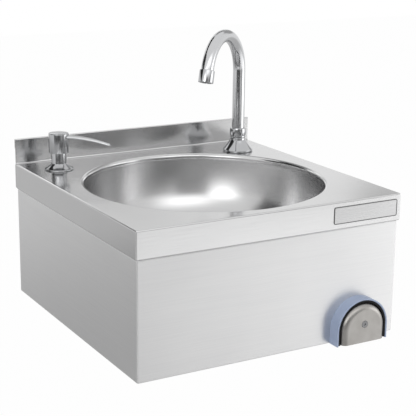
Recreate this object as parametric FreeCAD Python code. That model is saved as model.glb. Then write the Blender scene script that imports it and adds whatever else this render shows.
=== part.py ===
import FreeCAD, Part
import math
import os

# Wall-hung stainless hand-wash sink, worked by a knee pad. All lengths are in millimetres.
# The origin is the middle of the four wall-fixing holes, on the wall plane.
# X runs to the right seen from the front, Y into the wall and Z up.

# Overall box
sink_width = 400.0
sink_depth = 400.0
box_height = 198.0
upstand_height = 37.0

# Sheet metal
top_sheet = 1.2
casing_sheet = 1.0
bend_inner = 0.8
skirt_height = 38.0
skirt_return = 12.0
casing_inset = 2.5
casing_top_flange = 14.0
casing_foot_flange = 12.0
hem_gap = 0.6
hem_length = 14.0
upstand_foot_radius = 2.0

# Wall fixings, in the rear flanges of the casing
rear_flange = 24.0
fixing_edge = 13.5
fixing_margin = 35.0
fixing_radius = 4.5

# Badge plate on the skirt, left blank
badge_width = 104.0
badge_height = 23.5
badge_sheet = 0.8
badge_from_right = 6.5
badge_from_top = 7.0
badge_corner = 2.5

# Wash bowl and its rolled lip
bowl_side_land = 27.0
bowl_front_land = 14.0
bowl_back_land = 40.0
lip_radius = 5.0
lip_straight = 2.0
bowl_side_radius = 200.0
bowl_side_turn = 15.0
bowl_round_radius = 75.0
bowl_floor_angle = 5.0
drain_recess_radius = 44.0
drain_recess_depth = 4.0
drain_radius = 26.0

# Waste
strainer_margin = 5.0
strainer_sheet = 2.0
strainer_dish = 3.0
strainer_dish_radius = 22.0
strainer_hole_radius = 2.6
strainer_ring_counts = (6, 12)
strainer_ring_radii = (9.5, 16.0)
waste_seal_thickness = 1.0
waste_washer_thickness = 2.0
waste_flange_radius = 37.0
waste_flange_thickness = 4.0
waste_cup_depth = 18.0
waste_wall = 3.0
waste_outlet_radius = 23.9
waste_outlet_length = 22.0
waste_bridge_thickness = 6.0
waste_bridge_depth = 10.0
waste_boss_radius = 6.0
waste_screw_radius = 3.0
waste_screw_head_radius = 5.2
waste_screw_head_height = 2.4
waste_screw_length = 20.0

# Spout
tap_from_right = 58.5
tap_from_back = 69.0
tap_heading = 215.0
tube_radius = 9.5
tube_wall = 1.0
tube_height = 126.0
tube_bend_radius = 58.5
tube_bend_turn = 163.5
tube_tail = 2.0
bell_radius = 23.0
bell_rim = 3.0
bell_undercut = 1.5
bell_height = 18.0
bell_top_radius = 12.2
bell_flare_radius = 70.0
shank_radius = 9.5
shank_bore = 4.0
shank_drop = 52.0
socket_wall = 1.8
socket_floor = 2.0
socket_height = 13.0
socket_groove = 0.5
bead_radius = 10.6
bead_height = 1.5
collar_wall = 1.2
collar_lip = 1.5
collar_crown = 0.6
collar_seat = 6.6
ring_wire = 0.6
ring_low = 7.0
ring_spacing = 4.0
tap_washer_radius = 17.0
tap_washer_thickness = 2.5
tap_nut_flats = 30.0
tap_nut_height = 7.0

# Aerator on the end of the spout
aerator_radius = 11.2
aerator_overlap = 13.0
aerator_insert_height = 4.0
aerator_lip = 1.5
aerator_mouth_radius = 8.2
aerator_chamfer = 0.6
aerator_hole_radius = 1.1
aerator_ring_counts = (1, 6, 12)
aerator_ring_radii = (0.0, 3.0, 6.0)

# Soap dispenser
pump_from_left = 44.5
pump_from_back = 61.0
pump_heading = -42.0
rose_radius = 21.0
rose_rim = 2.0
rose_height = 9.0
rose_flare_radius = 16.0
neck_radius = 11.0
neck_bore = 9.0
neck_height = 29.2
neck_seat_depth = 3.0
neck_seat_width = 0.9
pump_shank_radius = 11.5
pump_shank_entry = 5.0
pump_shank_drop = 42.0
pump_hole_radius = 12.5
pump_washer_radius = 18.5
pump_washer_thickness = 2.0
pump_nut_flats = 32.0
pump_nut_height = 8.0
bottle_radius = 30.0
bottle_wall = 1.5
bottle_neck_length = 18.0
bottle_shoulder = 18.0
bottle_height = 118.0
bottle_heel_radius = 7.0
cylinder_bore = 6.5
cylinder_rim = 1.5
cylinder_drop = 22.0
cylinder_floor = 2.0
spigot_radius = 2.6
spigot_bore = 1.8
spigot_length = 7.0
dip_wall = 0.9
dip_floor_gap = 3.0
check_ball_radius = 2.5
stem_radius = 3.9
stem_bore = 1.8
piston_height = 8.0
pump_stroke = 12.0
pump_wire = 1.2
pump_coils = 6
head_radius = 14.5
head_bottom = 25.0
head_top = 54.4
head_crown = 1.2
head_edge = 0.8
head_slide_gap = 0.4
head_room = 1.5
stem_socket_depth = 6.0

# Nozzle beak of the dispenser: reach from the axis, then drops of its top line
nozzle_reach = 77.0
nozzle_top = 50.6
nozzle_tip_drop = 9.5
nozzle_root_height = 6.0
nozzle_root_width = 10.0
nozzle_tip_height = 4.2
nozzle_tip_width = 6.0
nozzle_outlet_radius = 0.8
nozzle_outlet_depth = 6.0
nozzle_sink = 1.2

# Knee pad and its surround
knee_from_right = 66.0
arch_centre_height = 20.5
arch_inner = 38.0
arch_wall = 3.5
arch_proud = 18.0
arch_edge = 2.6
arch_web = 1.0
arch_flange = 6.0
arch_flange_thickness = 3.0
arch_relief = 1.0
liner_wall = 1.8
liner_recess = 4.5
liner_flange = 6.0
liner_flange_thickness = 2.0
pad_gap = 1.0
pad_proud = 22.0
pad_depth = 18.0
pad_sheet = 1.5
pad_edge = 9.0
pad_bottom = 1.3
carrier_bottom = 2.0
carrier_setback = 1.5
carrier_pocket = 6.0
carrier_wall = 3.0
carrier_boss = 8.0
knee_stroke = 12.0

# Self-closing valve behind the pad
valve_centre_height = 27.3
rod_radius = 4.0
rod_entry = 6.0
screw_radius = 2.4
screw_head_radius = 4.8
screw_head_height = 1.2
screw_length = 15.0
screw_key_flats = 3.0
screw_key_depth = 0.8
bracket_standoff = 18.5
bracket_sheet = 2.0
bracket_half_width = 32.0
bracket_low = 8.0
bracket_above = 4.0
bracket_foot = 20.0
nose_radius = 12.0
nose_length = 8.0
valve_nut_flats = 32.0
valve_nut_height = 6.0
bonnet_flange = 4.0
bonnet_flange_radius = 17.0
bonnet_plug = 3.0
bonnet_plug_radius = 12.0
seal_wire = 1.05
seal_depth = 6.0
valve_radius = 19.0
spring_chamber = 34.0
seat_wall = 4.0
seat_radius = 6.5
inlet_chamber = 22.0
inlet_chamber_radius = 11.0
inlet_wall = 4.0
inlet_radius = 10.48
inlet_length = 14.0
inlet_bore = 7.0
port_back = 17.0
port_radius = 9.5
port_height = 10.0
rod_collar_radius = 7.4
rod_collar_height = 2.0
rod_collar_gap = 1.5
return_coil_radius = 6.4
return_wire = 1.4
return_coils = 6
poppet_radius = 9.0
poppet_height = 4.6
poppet_washer = 2.0
poppet_spigot = 3.0
poppet_spigot_end = 1.0

# Pipe from the valve to the spout
pipe_radius = 5.0
pipe_wall = 1.0
pipe_wall_gap = 19.5
pipe_slant_length = 52.0
pipe_bend = 20.0
union_flats = 24.0
union_grip = 10.0
union_cap = 5.0

# Clearances: held pieces, running pieces, and the overrun of every cut
fit_gap = 0.1
run_gap = 0.06
rest_gap = 0.3
overrun = 3.0

# Shares
nozzle_stations_shares = (0.0, 0.3, 0.6, 0.85, 1.0)
nozzle_round_share = 0.9
bridge_spokes = 3

# Angles
FULL_TURN = 360.0
HALF_TURN = 180.0
QUARTER_TURN = 90.0
coil_pieces_per_turn = 4
gap_samples_per_turn = 24

# Levels and centres worked out from the sizes above
half_width = sink_width / 2
casing_height = box_height - skirt_height
fixing_spacing = casing_height - 2 * fixing_margin
bottom_z = -casing_height / 2
deck_z = bottom_z + box_height
skirt_z = deck_z - skirt_height
upstand_z = deck_z + upstand_height
under_deck_z = deck_z - top_sheet
top_bend = top_sheet + bend_inner
casing_bend = casing_sheet + bend_inner
hem = 2 * top_sheet + hem_gap
casing_half = half_width - casing_inset
panel_y = -sink_depth + casing_inset
panel_back_y = panel_y + casing_sheet

bowl_edge_radius = min(half_width - bowl_side_land, (sink_depth - bowl_front_land - bowl_back_land) / 2)
bowl_wall_radius = bowl_edge_radius - lip_radius
bowl_rim_z = deck_z - lip_radius - lip_straight
bowl_y = -sink_depth + bowl_front_land + bowl_edge_radius

tap_x = half_width - tap_from_right
tap_y = -tap_from_back
pump_x = -half_width + pump_from_left
pump_y = -pump_from_back
knee_x = half_width - knee_from_right
arch_z = bottom_z + arch_centre_height
valve_z = bottom_z + valve_centre_height

socket_radius = tube_radius + run_gap + socket_wall
socket_top = bell_height + socket_floor + socket_height
collar_radius = socket_radius + fit_gap + collar_wall
collar_top = socket_top + rest_gap + bead_height + rest_gap + collar_lip
shank_foot_z = deck_z - shank_drop
tap_hole_radius = shank_radius + rest_gap

liner_outer = arch_inner - fit_gap
liner_inner = liner_outer - liner_wall
pad_radius = liner_inner - pad_gap
arch_outer = arch_inner + arch_wall
notch_radius = arch_inner + arch_web
arch_front_y = panel_y - arch_proud
arch_flange_y = panel_back_y + arch_flange_thickness
pad_front_y = panel_y - pad_proud
pad_back_y = pad_front_y + pad_depth
carrier_front_y = pad_front_y + pad_sheet + fit_gap
carrier_back_y = pad_back_y - carrier_setback
rod_front_y = carrier_front_y + rod_entry

bracket_y = panel_back_y + bracket_standoff
bracket_back_y = bracket_y + bracket_sheet
valve_front_y = bracket_back_y + bonnet_flange
seat_y = valve_front_y + spring_chamber
inlet_chamber_y = seat_y + seat_wall
inlet_shoulder_y = inlet_chamber_y + inlet_chamber + inlet_wall
rod_collar_y = valve_front_y + bonnet_plug + rod_collar_gap
poppet_y = inlet_chamber_y + rest_gap
port_y = valve_front_y + port_back
port_z = valve_z + valve_radius + port_height

V = FreeCAD.Vector
ORIGIN = V(0, 0, 0)
UP = V(0, 0, 1)
DOWN = V(0, 0, -1)
BACK = V(0, 1, 0)


def box(x0, x1, y0, y1, z0, z1):
    """Block between two corners."""
    return Part.makeBox(x1 - x0, y1 - y0, z1 - z0, V(x0, y0, z0))


def bar(radius, start, end):
    """Round bar from one point to another."""
    along = end.sub(start)
    return Part.makeCylinder(radius, along.Length, start, along)


def at(radius, height):
    """Point of a turned profile."""
    return V(radius, 0, height)


def arc(radius, height, bend, start, end):
    """Middle and end of a profile's arc about a centre, by its angles in degrees."""
    stops = [math.radians(angle) for angle in ((start + end) / 2, end)]
    return tuple(at(radius + bend * math.cos(a), height + bend * math.sin(a)) for a in stops)


def chain(points):
    """Wire of lines and arcs: a pair of points is the middle and the end of an arc."""
    edges = []
    here = points[0]
    for step in points[1:]:
        if isinstance(step, tuple):
            edges.append(Part.Arc(here, step[0], step[1]).toShape())
            here = step[1]
        else:
            edges.append(Part.LineSegment(here, step).toShape())
            here = step
    return Part.Wire(edges)


def profile(points):
    """Closed face of a turned or folded section."""
    return Part.Face(chain(points + [points[0]]))


def place(shape, base, axis):
    """Stands a shape made along Z on a base point, along an axis."""
    shape.Placement = FreeCAD.Placement(base, FreeCAD.Rotation(UP, axis))
    return shape


def turned(points, base, axis=UP):
    """Solid of revolution about an axis through a base point."""
    return place(profile(points).revolve(ORIGIN, UP, FULL_TURN), base, axis)


def tube(outer, inner, low, high, base, axis=UP):
    """Plain ring or sleeve between two heights along its axis."""
    corners = [at(inner, low), at(outer, low), at(outer, high), at(inner, high)]
    return turned(corners, base, axis)


def hexagon(flats, low, high, base, axis=UP):
    """Hexagon prism by its width across flats."""
    corner = flats / 2 / math.cos(math.pi / 6)
    turns = [math.pi / 3 * side for side in range(6)]
    points = [V(corner * math.cos(a), corner * math.sin(a), low) for a in turns]
    face = Part.Face(Part.makePolygon(points + [points[0]]))
    return place(face.extrude(V(0, 0, high - low)), base, axis)


def nut(flats, bore, low, high, base, axis=UP):
    """Hexagon nut with a plain bore."""
    hole = tube(bore, 0, low - overrun, high + overrun, base, axis)
    return hexagon(flats, low, high, base, axis).cut(hole)


def o_ring(centre_radius, wire, height, base, axis=UP):
    """Round rubber ring."""
    ring = Part.makeTorus(centre_radius, wire, at(0, height), UP)
    return place(ring, base, axis)


def swept(wire, start, tangent, radius):
    """Round bar along a wire of lines and tangent arcs."""
    circle = Part.Wire(Part.makeCircle(radius, start, tangent))
    return wire.makePipeShell([circle], True, False)


def edges_in_front(shape, wall_y):
    """Edges of a block that don't lie on its rear plane."""
    return [edge for edge in shape.Edges if edge.BoundBox.YMin < wall_y - overrun / 2]


def arch(radius, foot_z, y0, y1):
    """D-shaped prism of the knee opening: a half round on two straight legs."""
    left = V(knee_x - radius, y0, arch_z)
    right = V(knee_x + radius, y0, arch_z)
    crown = (V(knee_x, y0, arch_z + radius), right)
    feet = [V(knee_x + radius, y0, foot_z), V(knee_x - radius, y0, foot_z)]
    return Part.Face(chain([left, crown] + feet + [left])).extrude(V(0, y1 - y0, 0))


def soften_front(shape, front_y, foot_z, radius):
    """Rounds the front edge of an arch, along its legs and crown but not at its foot."""
    edges = []
    for edge in shape.Edges:
        bounds = edge.BoundBox
        on_front = abs(bounds.YMax - front_y) < fit_gap and abs(bounds.YMin - front_y) < fit_gap
        if on_front and bounds.ZMax > foot_z + fit_gap:
            edges.append(edge)
    return shape.makeFillet(radius, edges)


def basin_top():
    """Folded top: deck with rolled bowl lip, skirt with return edge, hemmed upstand."""
    tray = box(-half_width, half_width, -sink_depth, 0, skirt_z, deck_z)
    tray = tray.makeFillet(top_bend, edges_in_front(tray, 0))
    side = half_width - top_sheet
    hollow = box(-side, side, -sink_depth + top_sheet, overrun, skirt_z + top_sheet, under_deck_z)
    hollow = hollow.makeFillet(bend_inner, edges_in_front(hollow, overrun))
    side = half_width - skirt_return
    mouth_z = skirt_z + top_sheet + overrun
    mouth = box(-side, side, -sink_depth + skirt_return, overrun, skirt_z - overrun, mouth_z)
    tray = tray.cut(hollow).cut(mouth).fuse(upstand())
    leaf = top_sheet + hem_gap
    side = half_width - top_sheet
    foot = box(-side, side, -leaf, overrun, under_deck_z - overrun, deck_z + upstand_foot_radius)
    centre = V(0, bowl_y, 0)
    opening = tube(bowl_edge_radius, 0, under_deck_z - overrun, deck_z + overrun, centre)
    low = V(tap_x, tap_y, under_deck_z - overrun)
    tap_hole = bar(tap_hole_radius, low, V(tap_x, tap_y, deck_z + overrun))
    low = V(pump_x, pump_y, under_deck_z - overrun)
    pump_hole = bar(pump_hole_radius, low, V(pump_x, pump_y, deck_z + overrun))
    tray = tray.cut(foot).cut(opening).cut(tap_hole).cut(pump_hole)
    return tray.fuse(bowl_lip()).removeSplitter()


def upstand():
    """Upstand along the wall: its section, with the safe edge folded back, drawn along X."""
    fold = hem / 2
    fold_z = upstand_z - fold
    foot = hem + upstand_foot_radius
    section = profile([
        at(foot, deck_z),
        arc(foot, deck_z + upstand_foot_radius, upstand_foot_radius, 270, 180),
        at(hem, fold_z),
        arc(fold, fold_z, fold, 0, 180),
        at(0, upstand_z - hem_length),
        at(top_sheet, upstand_z - hem_length),
        at(top_sheet, fold_z),
        arc(fold, fold_z, hem_gap / 2, 180, 0),
        at(top_sheet + hem_gap, under_deck_z),
        at(foot, under_deck_z),
    ])
    section.rotate(ORIGIN, UP, -QUARTER_TURN)
    section.translate(V(-half_width, 0, 0))
    return section.extrude(V(sink_width, 0, 0))


def bowl_lip():
    """Rolled edge of the bowl opening, down to the welded seam."""
    roll_z = deck_z - lip_radius
    wall = bowl_wall_radius + top_sheet
    return turned([
        at(bowl_edge_radius, deck_z),
        arc(bowl_edge_radius, roll_z, lip_radius, 90, 180),
        at(bowl_wall_radius, bowl_rim_z),
        at(wall, bowl_rim_z),
        at(wall, roll_z),
        arc(bowl_edge_radius, roll_z, lip_radius - top_sheet, 180, 90),
    ], V(0, bowl_y, 0))


def bowl_line():
    """Inner line of the pressed bowl, from its rim to the drain hole."""
    turn = bowl_side_turn
    floor_turn = QUARTER_TURN - bowl_floor_angle
    side_r = bowl_wall_radius - bowl_side_radius
    shift = bowl_side_radius - bowl_round_radius
    round_r = side_r + shift * math.cos(math.radians(turn))
    round_z = bowl_rim_z - shift * math.sin(math.radians(turn))
    side = arc(side_r, bowl_rim_z, bowl_side_radius, 0, -turn)
    heel = arc(round_r, round_z, bowl_round_radius, -turn, -floor_turn)
    fall = (heel[1].x - drain_recess_radius) * math.tan(math.radians(bowl_floor_angle))
    floor_z = heel[1].z - fall
    seat_radius_inside = drain_recess_radius - drain_recess_depth
    return [
        at(bowl_wall_radius, bowl_rim_z),
        side,
        heel,
        at(drain_recess_radius, floor_z),
        at(seat_radius_inside, floor_z - drain_recess_depth),
        at(drain_radius, floor_z - drain_recess_depth),
    ]


drain_z = bowl_line()[-1].z
bowl_under_z = drain_z - top_sheet
waste_top_z = bowl_under_z - waste_washer_thickness
strainer_z = drain_z + waste_seal_thickness
strainer_radius = drain_recess_radius - drain_recess_depth - strainer_margin + waste_seal_thickness


def wash_bowl():
    """Pressed bowl of even thickness, butt-welded to the lip of the deck."""
    skin = chain(bowl_line()).makeOffset2D(top_sheet, fill=True, openResult=True)
    return place(skin.revolve(ORIGIN, UP, FULL_TURN), V(0, bowl_y, 0), UP)


def casing():
    """Front and sides in one folded sheet, with flanges all round and the knee opening."""
    shell = box(-casing_half, casing_half, panel_y, 0, bottom_z, skirt_z)
    shell = shell.makeFillet(casing_bend, edges_in_front(shell, 0))
    side = casing_half - casing_sheet
    low = bottom_z + casing_sheet
    high = skirt_z - casing_sheet
    shell = shell.cut(box(-side, side, panel_back_y, -casing_sheet, low, high))
    side = casing_half - casing_top_flange
    front = panel_y + casing_top_flange
    shell = shell.cut(box(-side, side, front, -casing_sheet, high - overrun, skirt_z + overrun))
    side = casing_half - casing_foot_flange
    front = panel_y + casing_foot_flange
    shell = shell.cut(box(-side, side, front, -casing_sheet, bottom_z - overrun, low + overrun))
    side = casing_half - rear_flange
    back = -casing_sheet - overrun
    shell = shell.cut(box(-side, side, back, overrun, bottom_z - overrun, skirt_z + overrun))
    shell = shell.cut(arch(notch_radius, bottom_z - overrun, panel_y - overrun, panel_back_y + overrun))
    relief = notch_radius + arch_flange + arch_relief
    front = panel_y + casing_foot_flange + overrun
    left, right = knee_x - relief, knee_x + relief
    shell = shell.cut(box(left, right, panel_back_y, front, bottom_z - overrun, low + overrun))
    for x in (-casing_half + fixing_edge, casing_half - fixing_edge):
        for z in (-fixing_spacing / 2, fixing_spacing / 2):
            shell = shell.cut(bar(fixing_radius, V(x, -casing_sheet - overrun, z), V(x, overrun, z)))
    return shell


def badge_plate():
    """Thin blank plate with rounded corners, stuck on the skirt."""
    right = half_width - badge_from_right
    high = deck_z - badge_from_top
    plate = box(right - badge_width, right, -sink_depth - badge_sheet, -sink_depth, high - badge_height, high)
    corners = [edge for edge in plate.Edges if edge.BoundBox.YLength > badge_sheet / 2]
    return plate.makeFillet(badge_corner, corners)


def ring_of_holes(counts, ring_radii, radius, low, high):
    """Bars for drilling rings of holes about the Z axis, each ring with its own count and radius."""
    holes = []
    for count, ring_radius in zip(counts, ring_radii):
        for step in range(count):
            turn = 2 * math.pi * step / count
            spot = V(ring_radius * math.cos(turn), ring_radius * math.sin(turn), low)
            holes.append(bar(radius, spot, spot.add(V(0, 0, high - low))))
    return holes


def waste_strainer():
    """Dished strainer that lies in the drain recess."""
    floor = -strainer_dish
    rim = strainer_radius
    body = turned([
        at(waste_screw_radius + fit_gap, floor),
        at(strainer_dish_radius, floor),
        at(strainer_dish_radius + strainer_dish, 0),
        at(rim, 0),
        arc(rim - strainer_sheet, 0, strainer_sheet, 0, 90),
        at(strainer_dish_radius + strainer_dish - strainer_sheet, strainer_sheet),
        at(strainer_dish_radius - strainer_sheet, floor + strainer_sheet),
        at(waste_screw_radius + fit_gap, floor + strainer_sheet),
    ], ORIGIN)
    low = floor - overrun
    holes = ring_of_holes(strainer_ring_counts, strainer_ring_radii, strainer_hole_radius, low, overrun)
    return place(body.cut(holes), V(0, bowl_y, strainer_z), UP)


def waste_seal():
    """Thin seal between the strainer's rim and the drain recess."""
    return tube(strainer_radius, drain_radius, drain_z, strainer_z, V(0, bowl_y, 0))


def waste_washer():
    """Rubber washer under the bowl."""
    return tube(waste_flange_radius, drain_radius, waste_top_z, bowl_under_z, V(0, bowl_y, 0))


def waste_body():
    """Waste cup with a threaded outlet and a spoked bridge that takes the centre screw."""
    flange_z = waste_top_z - waste_flange_thickness
    neck_z = flange_z - waste_cup_depth
    foot_z = neck_z - waste_outlet_length
    cup = drain_radius + waste_wall
    bore = waste_outlet_radius - waste_wall
    body = turned([
        at(drain_radius, waste_top_z),
        at(waste_flange_radius, waste_top_z),
        at(waste_flange_radius, flange_z),
        at(cup, flange_z),
        at(cup, flange_z - waste_cup_depth / 2),
        at(waste_outlet_radius, neck_z),
        at(waste_outlet_radius, foot_z),
        at(bore, foot_z),
        at(bore, neck_z),
        at(drain_radius, flange_z - waste_cup_depth / 2),
    ], V(0, bowl_y, 0))
    top = waste_top_z - waste_bridge_depth
    low = top - waste_bridge_thickness
    for spoke in range(bridge_spokes):
        rib = box(0, drain_radius + waste_wall / 2, -waste_wall / 2, waste_wall / 2, low, top)
        rib.rotate(ORIGIN, UP, FULL_TURN * spoke / bridge_spokes)
        rib.translate(V(0, bowl_y, 0))
        body = body.fuse(rib)
    body = body.fuse(tube(waste_boss_radius, 0, low, top, V(0, bowl_y, 0)))
    drill = tube(waste_screw_radius + fit_gap, 0, low - overrun, top + overrun, V(0, bowl_y, 0))
    return body.cut(drill).removeSplitter()


def waste_screw():
    """Centre screw that draws the strainer and the waste cup together."""
    seat = strainer_z - strainer_dish + strainer_sheet
    crown = seat + waste_screw_head_height
    screw = turned([
        at(0, seat - waste_screw_length),
        at(waste_screw_radius, seat - waste_screw_length),
        at(waste_screw_radius, seat),
        at(waste_screw_head_radius, seat),
        at(waste_screw_head_radius, seat + waste_screw_head_height / 2),
        at(waste_screw_radius, crown),
        at(0, crown),
    ], V(0, bowl_y, 0))
    slot_half = waste_screw_head_height / 4
    slot_z = crown - waste_screw_head_height / 2
    reach = waste_screw_head_radius + overrun
    slot = box(-reach, reach, bowl_y - slot_half, bowl_y + slot_half, slot_z, crown + overrun)
    return screw.cut(slot)


def spout_bell():
    """Bell-shaped rose that the spout stands on."""
    low = at(bell_radius, bell_rim)
    high = at(bell_top_radius, bell_height)
    chord = high.sub(low)
    inward = at(-chord.z, chord.x).normalize()
    sag = bell_flare_radius - math.sqrt(bell_flare_radius ** 2 - chord.Length ** 2 / 4)
    middle = low.add(high).multiply(1 / 2).add(inward.multiply(sag))
    bore = shank_radius + rest_gap
    return turned([
        at(bore, 0),
        at(bell_radius - bell_undercut, 0),
        at(bell_radius, bell_undercut),
        low,
        (middle, high),
        at(bore, bell_height),
    ], V(tap_x, tap_y, deck_z))


def spout_shank():
    """Threaded shank through the deck, with the socket that the spout turns in."""
    bore = tube_radius + run_gap
    floor = bell_height + socket_floor
    waist = bell_height + collar_seat / 2
    body = turned([
        at(shank_bore, -shank_drop),
        at(shank_radius, -shank_drop),
        at(shank_radius, bell_height),
        at(socket_radius, bell_height),
        at(socket_radius, waist - socket_groove),
        arc(socket_radius, waist, socket_groove, -QUARTER_TURN, -3 * QUARTER_TURN),
        at(socket_radius, socket_top),
        at(bore, socket_top),
        at(bore, floor),
        at(shank_bore, floor),
    ], V(tap_x, tap_y, deck_z))
    groove = ring_wire + fit_gap
    for height in ring_heights():
        cut = tube(bore + 2 * groove, 0, height - groove, height + groove, V(tap_x, tap_y, deck_z))
        body = body.cut(cut)
    return body


def ring_heights():
    """Heights of the two sealing rings above the deck."""
    first = bell_height + ring_low
    return [first, first + ring_spacing]


def spout_rings():
    """Two sealing rings between the spout and its socket."""
    centre = tube_radius + run_gap + ring_wire
    base = V(tap_x, tap_y, deck_z)
    return Part.makeCompound([o_ring(centre, ring_wire, h, base) for h in ring_heights()])


def spout_collar():
    """Barrel-shaped nut over the upper part of the socket, whose lip keeps the spout in."""
    inner = socket_radius + fit_gap
    low = bell_height + collar_seat
    lip = collar_top - collar_lip
    middle = (low + collar_top) / 2
    edge = collar_radius - collar_crown
    return turned([
        at(inner, low),
        at(edge, low),
        (at(collar_radius, middle), at(edge, collar_top)),
        at(tube_radius + fit_gap, collar_top),
        at(tube_radius + fit_gap, lip),
        at(inner, lip),
    ], V(tap_x, tap_y, deck_z))


def spout_direction():
    """Level direction in which the spout reaches out."""
    turn = math.radians(tap_heading)
    return V(math.cos(turn), math.sin(turn), 0)


def bend_point(turn):
    """Point of the gooseneck's centre line, by its turn in degrees."""
    angle = math.radians(turn)
    out = V(spout_direction()).multiply(tube_bend_radius * (1 - math.cos(angle)))
    rise = deck_z + tube_height + tube_bend_radius * math.sin(angle)
    return V(tap_x, tap_y, rise).add(out)


def outlet_direction():
    """Direction of the spout's end."""
    angle = math.radians(tube_bend_turn)
    out = V(spout_direction()).multiply(math.sin(angle))
    return out.add(V(0, 0, math.cos(angle)))


def tube_end():
    """End of the spout tube, inside the aerator."""
    return bend_point(tube_bend_turn).add(outlet_direction().multiply(tube_tail + aerator_overlap))


def spout_tube():
    """Gooseneck tube, one bend on a straight riser, with a bead that keeps it in its socket."""
    foot = V(tap_x, tap_y, deck_z + bell_height + socket_floor + rest_gap)
    bend = (bend_point(tube_bend_turn / 2), bend_point(tube_bend_turn))
    line = chain([foot, bend_point(0), bend, tube_end()])
    outer = swept(line, foot, UP, tube_radius)
    bead_z = socket_top + rest_gap
    base = V(tap_x, tap_y, deck_z)
    outer = outer.fuse(tube(bead_radius, tube_radius - tube_wall / 2, bead_z, bead_z + bead_height, base))
    return outer.cut(swept(line, foot, UP, tube_radius - tube_wall)).removeSplitter()


def aerator_start():
    """Upper end of the aerator, on the centre line of the spout's end."""
    return bend_point(tube_bend_turn).add(outlet_direction().multiply(tube_tail))


def aerator_housing():
    """Sleeve screwed over the end of the spout."""
    bore = tube_radius + fit_gap
    lip = aerator_overlap + aerator_insert_height
    end = lip + aerator_lip
    return turned([
        at(bore, 0),
        at(aerator_radius - aerator_chamfer, 0),
        at(aerator_radius, aerator_chamfer),
        at(aerator_radius, end - aerator_chamfer),
        at(aerator_radius - aerator_chamfer, end),
        at(aerator_mouth_radius, end),
        at(aerator_mouth_radius, lip),
        at(bore, lip),
    ], aerator_start(), outlet_direction())


def aerator_insert():
    """Perforated insert that mixes air into the water."""
    low = aerator_overlap
    high = aerator_overlap + aerator_insert_height
    disc = tube(tube_radius, 0, low, high, ORIGIN)
    ends = (low - overrun, high + overrun)
    holes = ring_of_holes(aerator_ring_counts, aerator_ring_radii, aerator_hole_radius, *ends)
    return place(disc.cut(holes), aerator_start(), outlet_direction())


def spout_washer():
    """Rubber washer under the deck."""
    low = under_deck_z - tap_washer_thickness
    return tube(tap_washer_radius, shank_radius + fit_gap, low, under_deck_z, V(tap_x, tap_y, 0))


def spout_lock_nut():
    """Nut that clamps the spout to the deck."""
    high = under_deck_z - tap_washer_thickness
    return nut(tap_nut_flats, shank_radius + fit_gap, high - tap_nut_height, high, V(tap_x, tap_y, 0))


def dispenser_rose():
    """Flared rose and neck of the soap dispenser."""
    seat = neck_height - neck_seat_depth
    low = at(rose_radius - rose_rim / 2, rose_rim)
    high = at(neck_radius, rose_height)
    chord = high.sub(low)
    inward = at(-chord.z, chord.x).normalize()
    sag = rose_flare_radius - math.sqrt(rose_flare_radius ** 2 - chord.Length ** 2 / 4)
    middle = low.add(high).multiply(1 / 2).add(inward.multiply(sag))
    return turned([
        at(pump_shank_radius + fit_gap, 0),
        at(rose_radius - rose_rim / 2, 0),
        arc(rose_radius - rose_rim / 2, rose_rim / 2, rose_rim / 2, -90, 90),
        (middle, high),
        at(neck_radius, neck_height),
        at(neck_bore + neck_seat_width, neck_height),
        at(neck_bore + neck_seat_width, seat),
        at(neck_bore, seat),
        at(neck_bore, pump_shank_entry),
        at(pump_shank_radius + fit_gap, pump_shank_entry),
    ], V(pump_x, pump_y, deck_z))


def dispenser_shank():
    """Threaded sleeve through the deck that carries the bottle."""
    return tube(pump_shank_radius, neck_bore, -pump_shank_drop, pump_shank_entry, V(pump_x, pump_y, deck_z))


def dispenser_washer():
    """Rubber washer of the dispenser, under the deck."""
    low = under_deck_z - pump_washer_thickness
    return tube(pump_washer_radius, pump_shank_radius + fit_gap, low, under_deck_z, V(pump_x, pump_y, 0))


def dispenser_nut():
    """Nut that clamps the dispenser to the deck."""
    high = under_deck_z - pump_washer_thickness
    bore = pump_shank_radius + fit_gap
    return nut(pump_nut_flats, bore, high - pump_nut_height, high, V(pump_x, pump_y, 0))


def soap_bottle():
    """Blown bottle screwed onto the sleeve from below."""
    bore = pump_shank_radius + fit_gap
    neck = bore + bottle_wall
    top = -pump_shank_drop + bottle_neck_length
    shoulder = -pump_shank_drop
    side = shoulder - bottle_shoulder
    foot = shoulder - bottle_height
    heel = bottle_heel_radius
    inside = bottle_radius - bottle_wall
    middle = (neck + bottle_radius) / 2
    return turned([
        at(bore, top),
        at(neck, top),
        at(neck, shoulder),
        at(middle, shoulder - bottle_shoulder / 4),
        at(bottle_radius, side),
        at(bottle_radius, foot + heel),
        arc(bottle_radius - heel, foot + heel, heel, 0, -90),
        at(0, foot),
        at(0, foot + bottle_wall),
        at(bottle_radius - heel, foot + bottle_wall),
        arc(bottle_radius - heel, foot + heel, heel - bottle_wall, -90, 0),
        at(inside, side - bottle_wall / 2),
        at(middle - bottle_wall / 2, shoulder - bottle_shoulder / 4 - bottle_wall),
        at(bore, shoulder - bottle_wall),
    ], V(pump_x, pump_y, deck_z))


def pump_cylinder():
    """Cylinder of the soap pump, hung by its rim in the neck."""
    seat = neck_height - neck_seat_depth
    outer = neck_bore - fit_gap
    rim = neck_bore + neck_seat_width - fit_gap
    floor = -cylinder_drop
    foot = floor - cylinder_floor
    return turned([
        at(cylinder_bore, seat + cylinder_rim),
        at(rim, seat + cylinder_rim),
        at(rim, seat),
        at(outer, seat),
        at(outer, foot),
        at(spigot_radius, foot),
        at(spigot_radius, foot - spigot_length),
        at(spigot_bore, foot - spigot_length),
        at(spigot_bore, floor),
        at(cylinder_bore, floor),
    ], V(pump_x, pump_y, deck_z))


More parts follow.
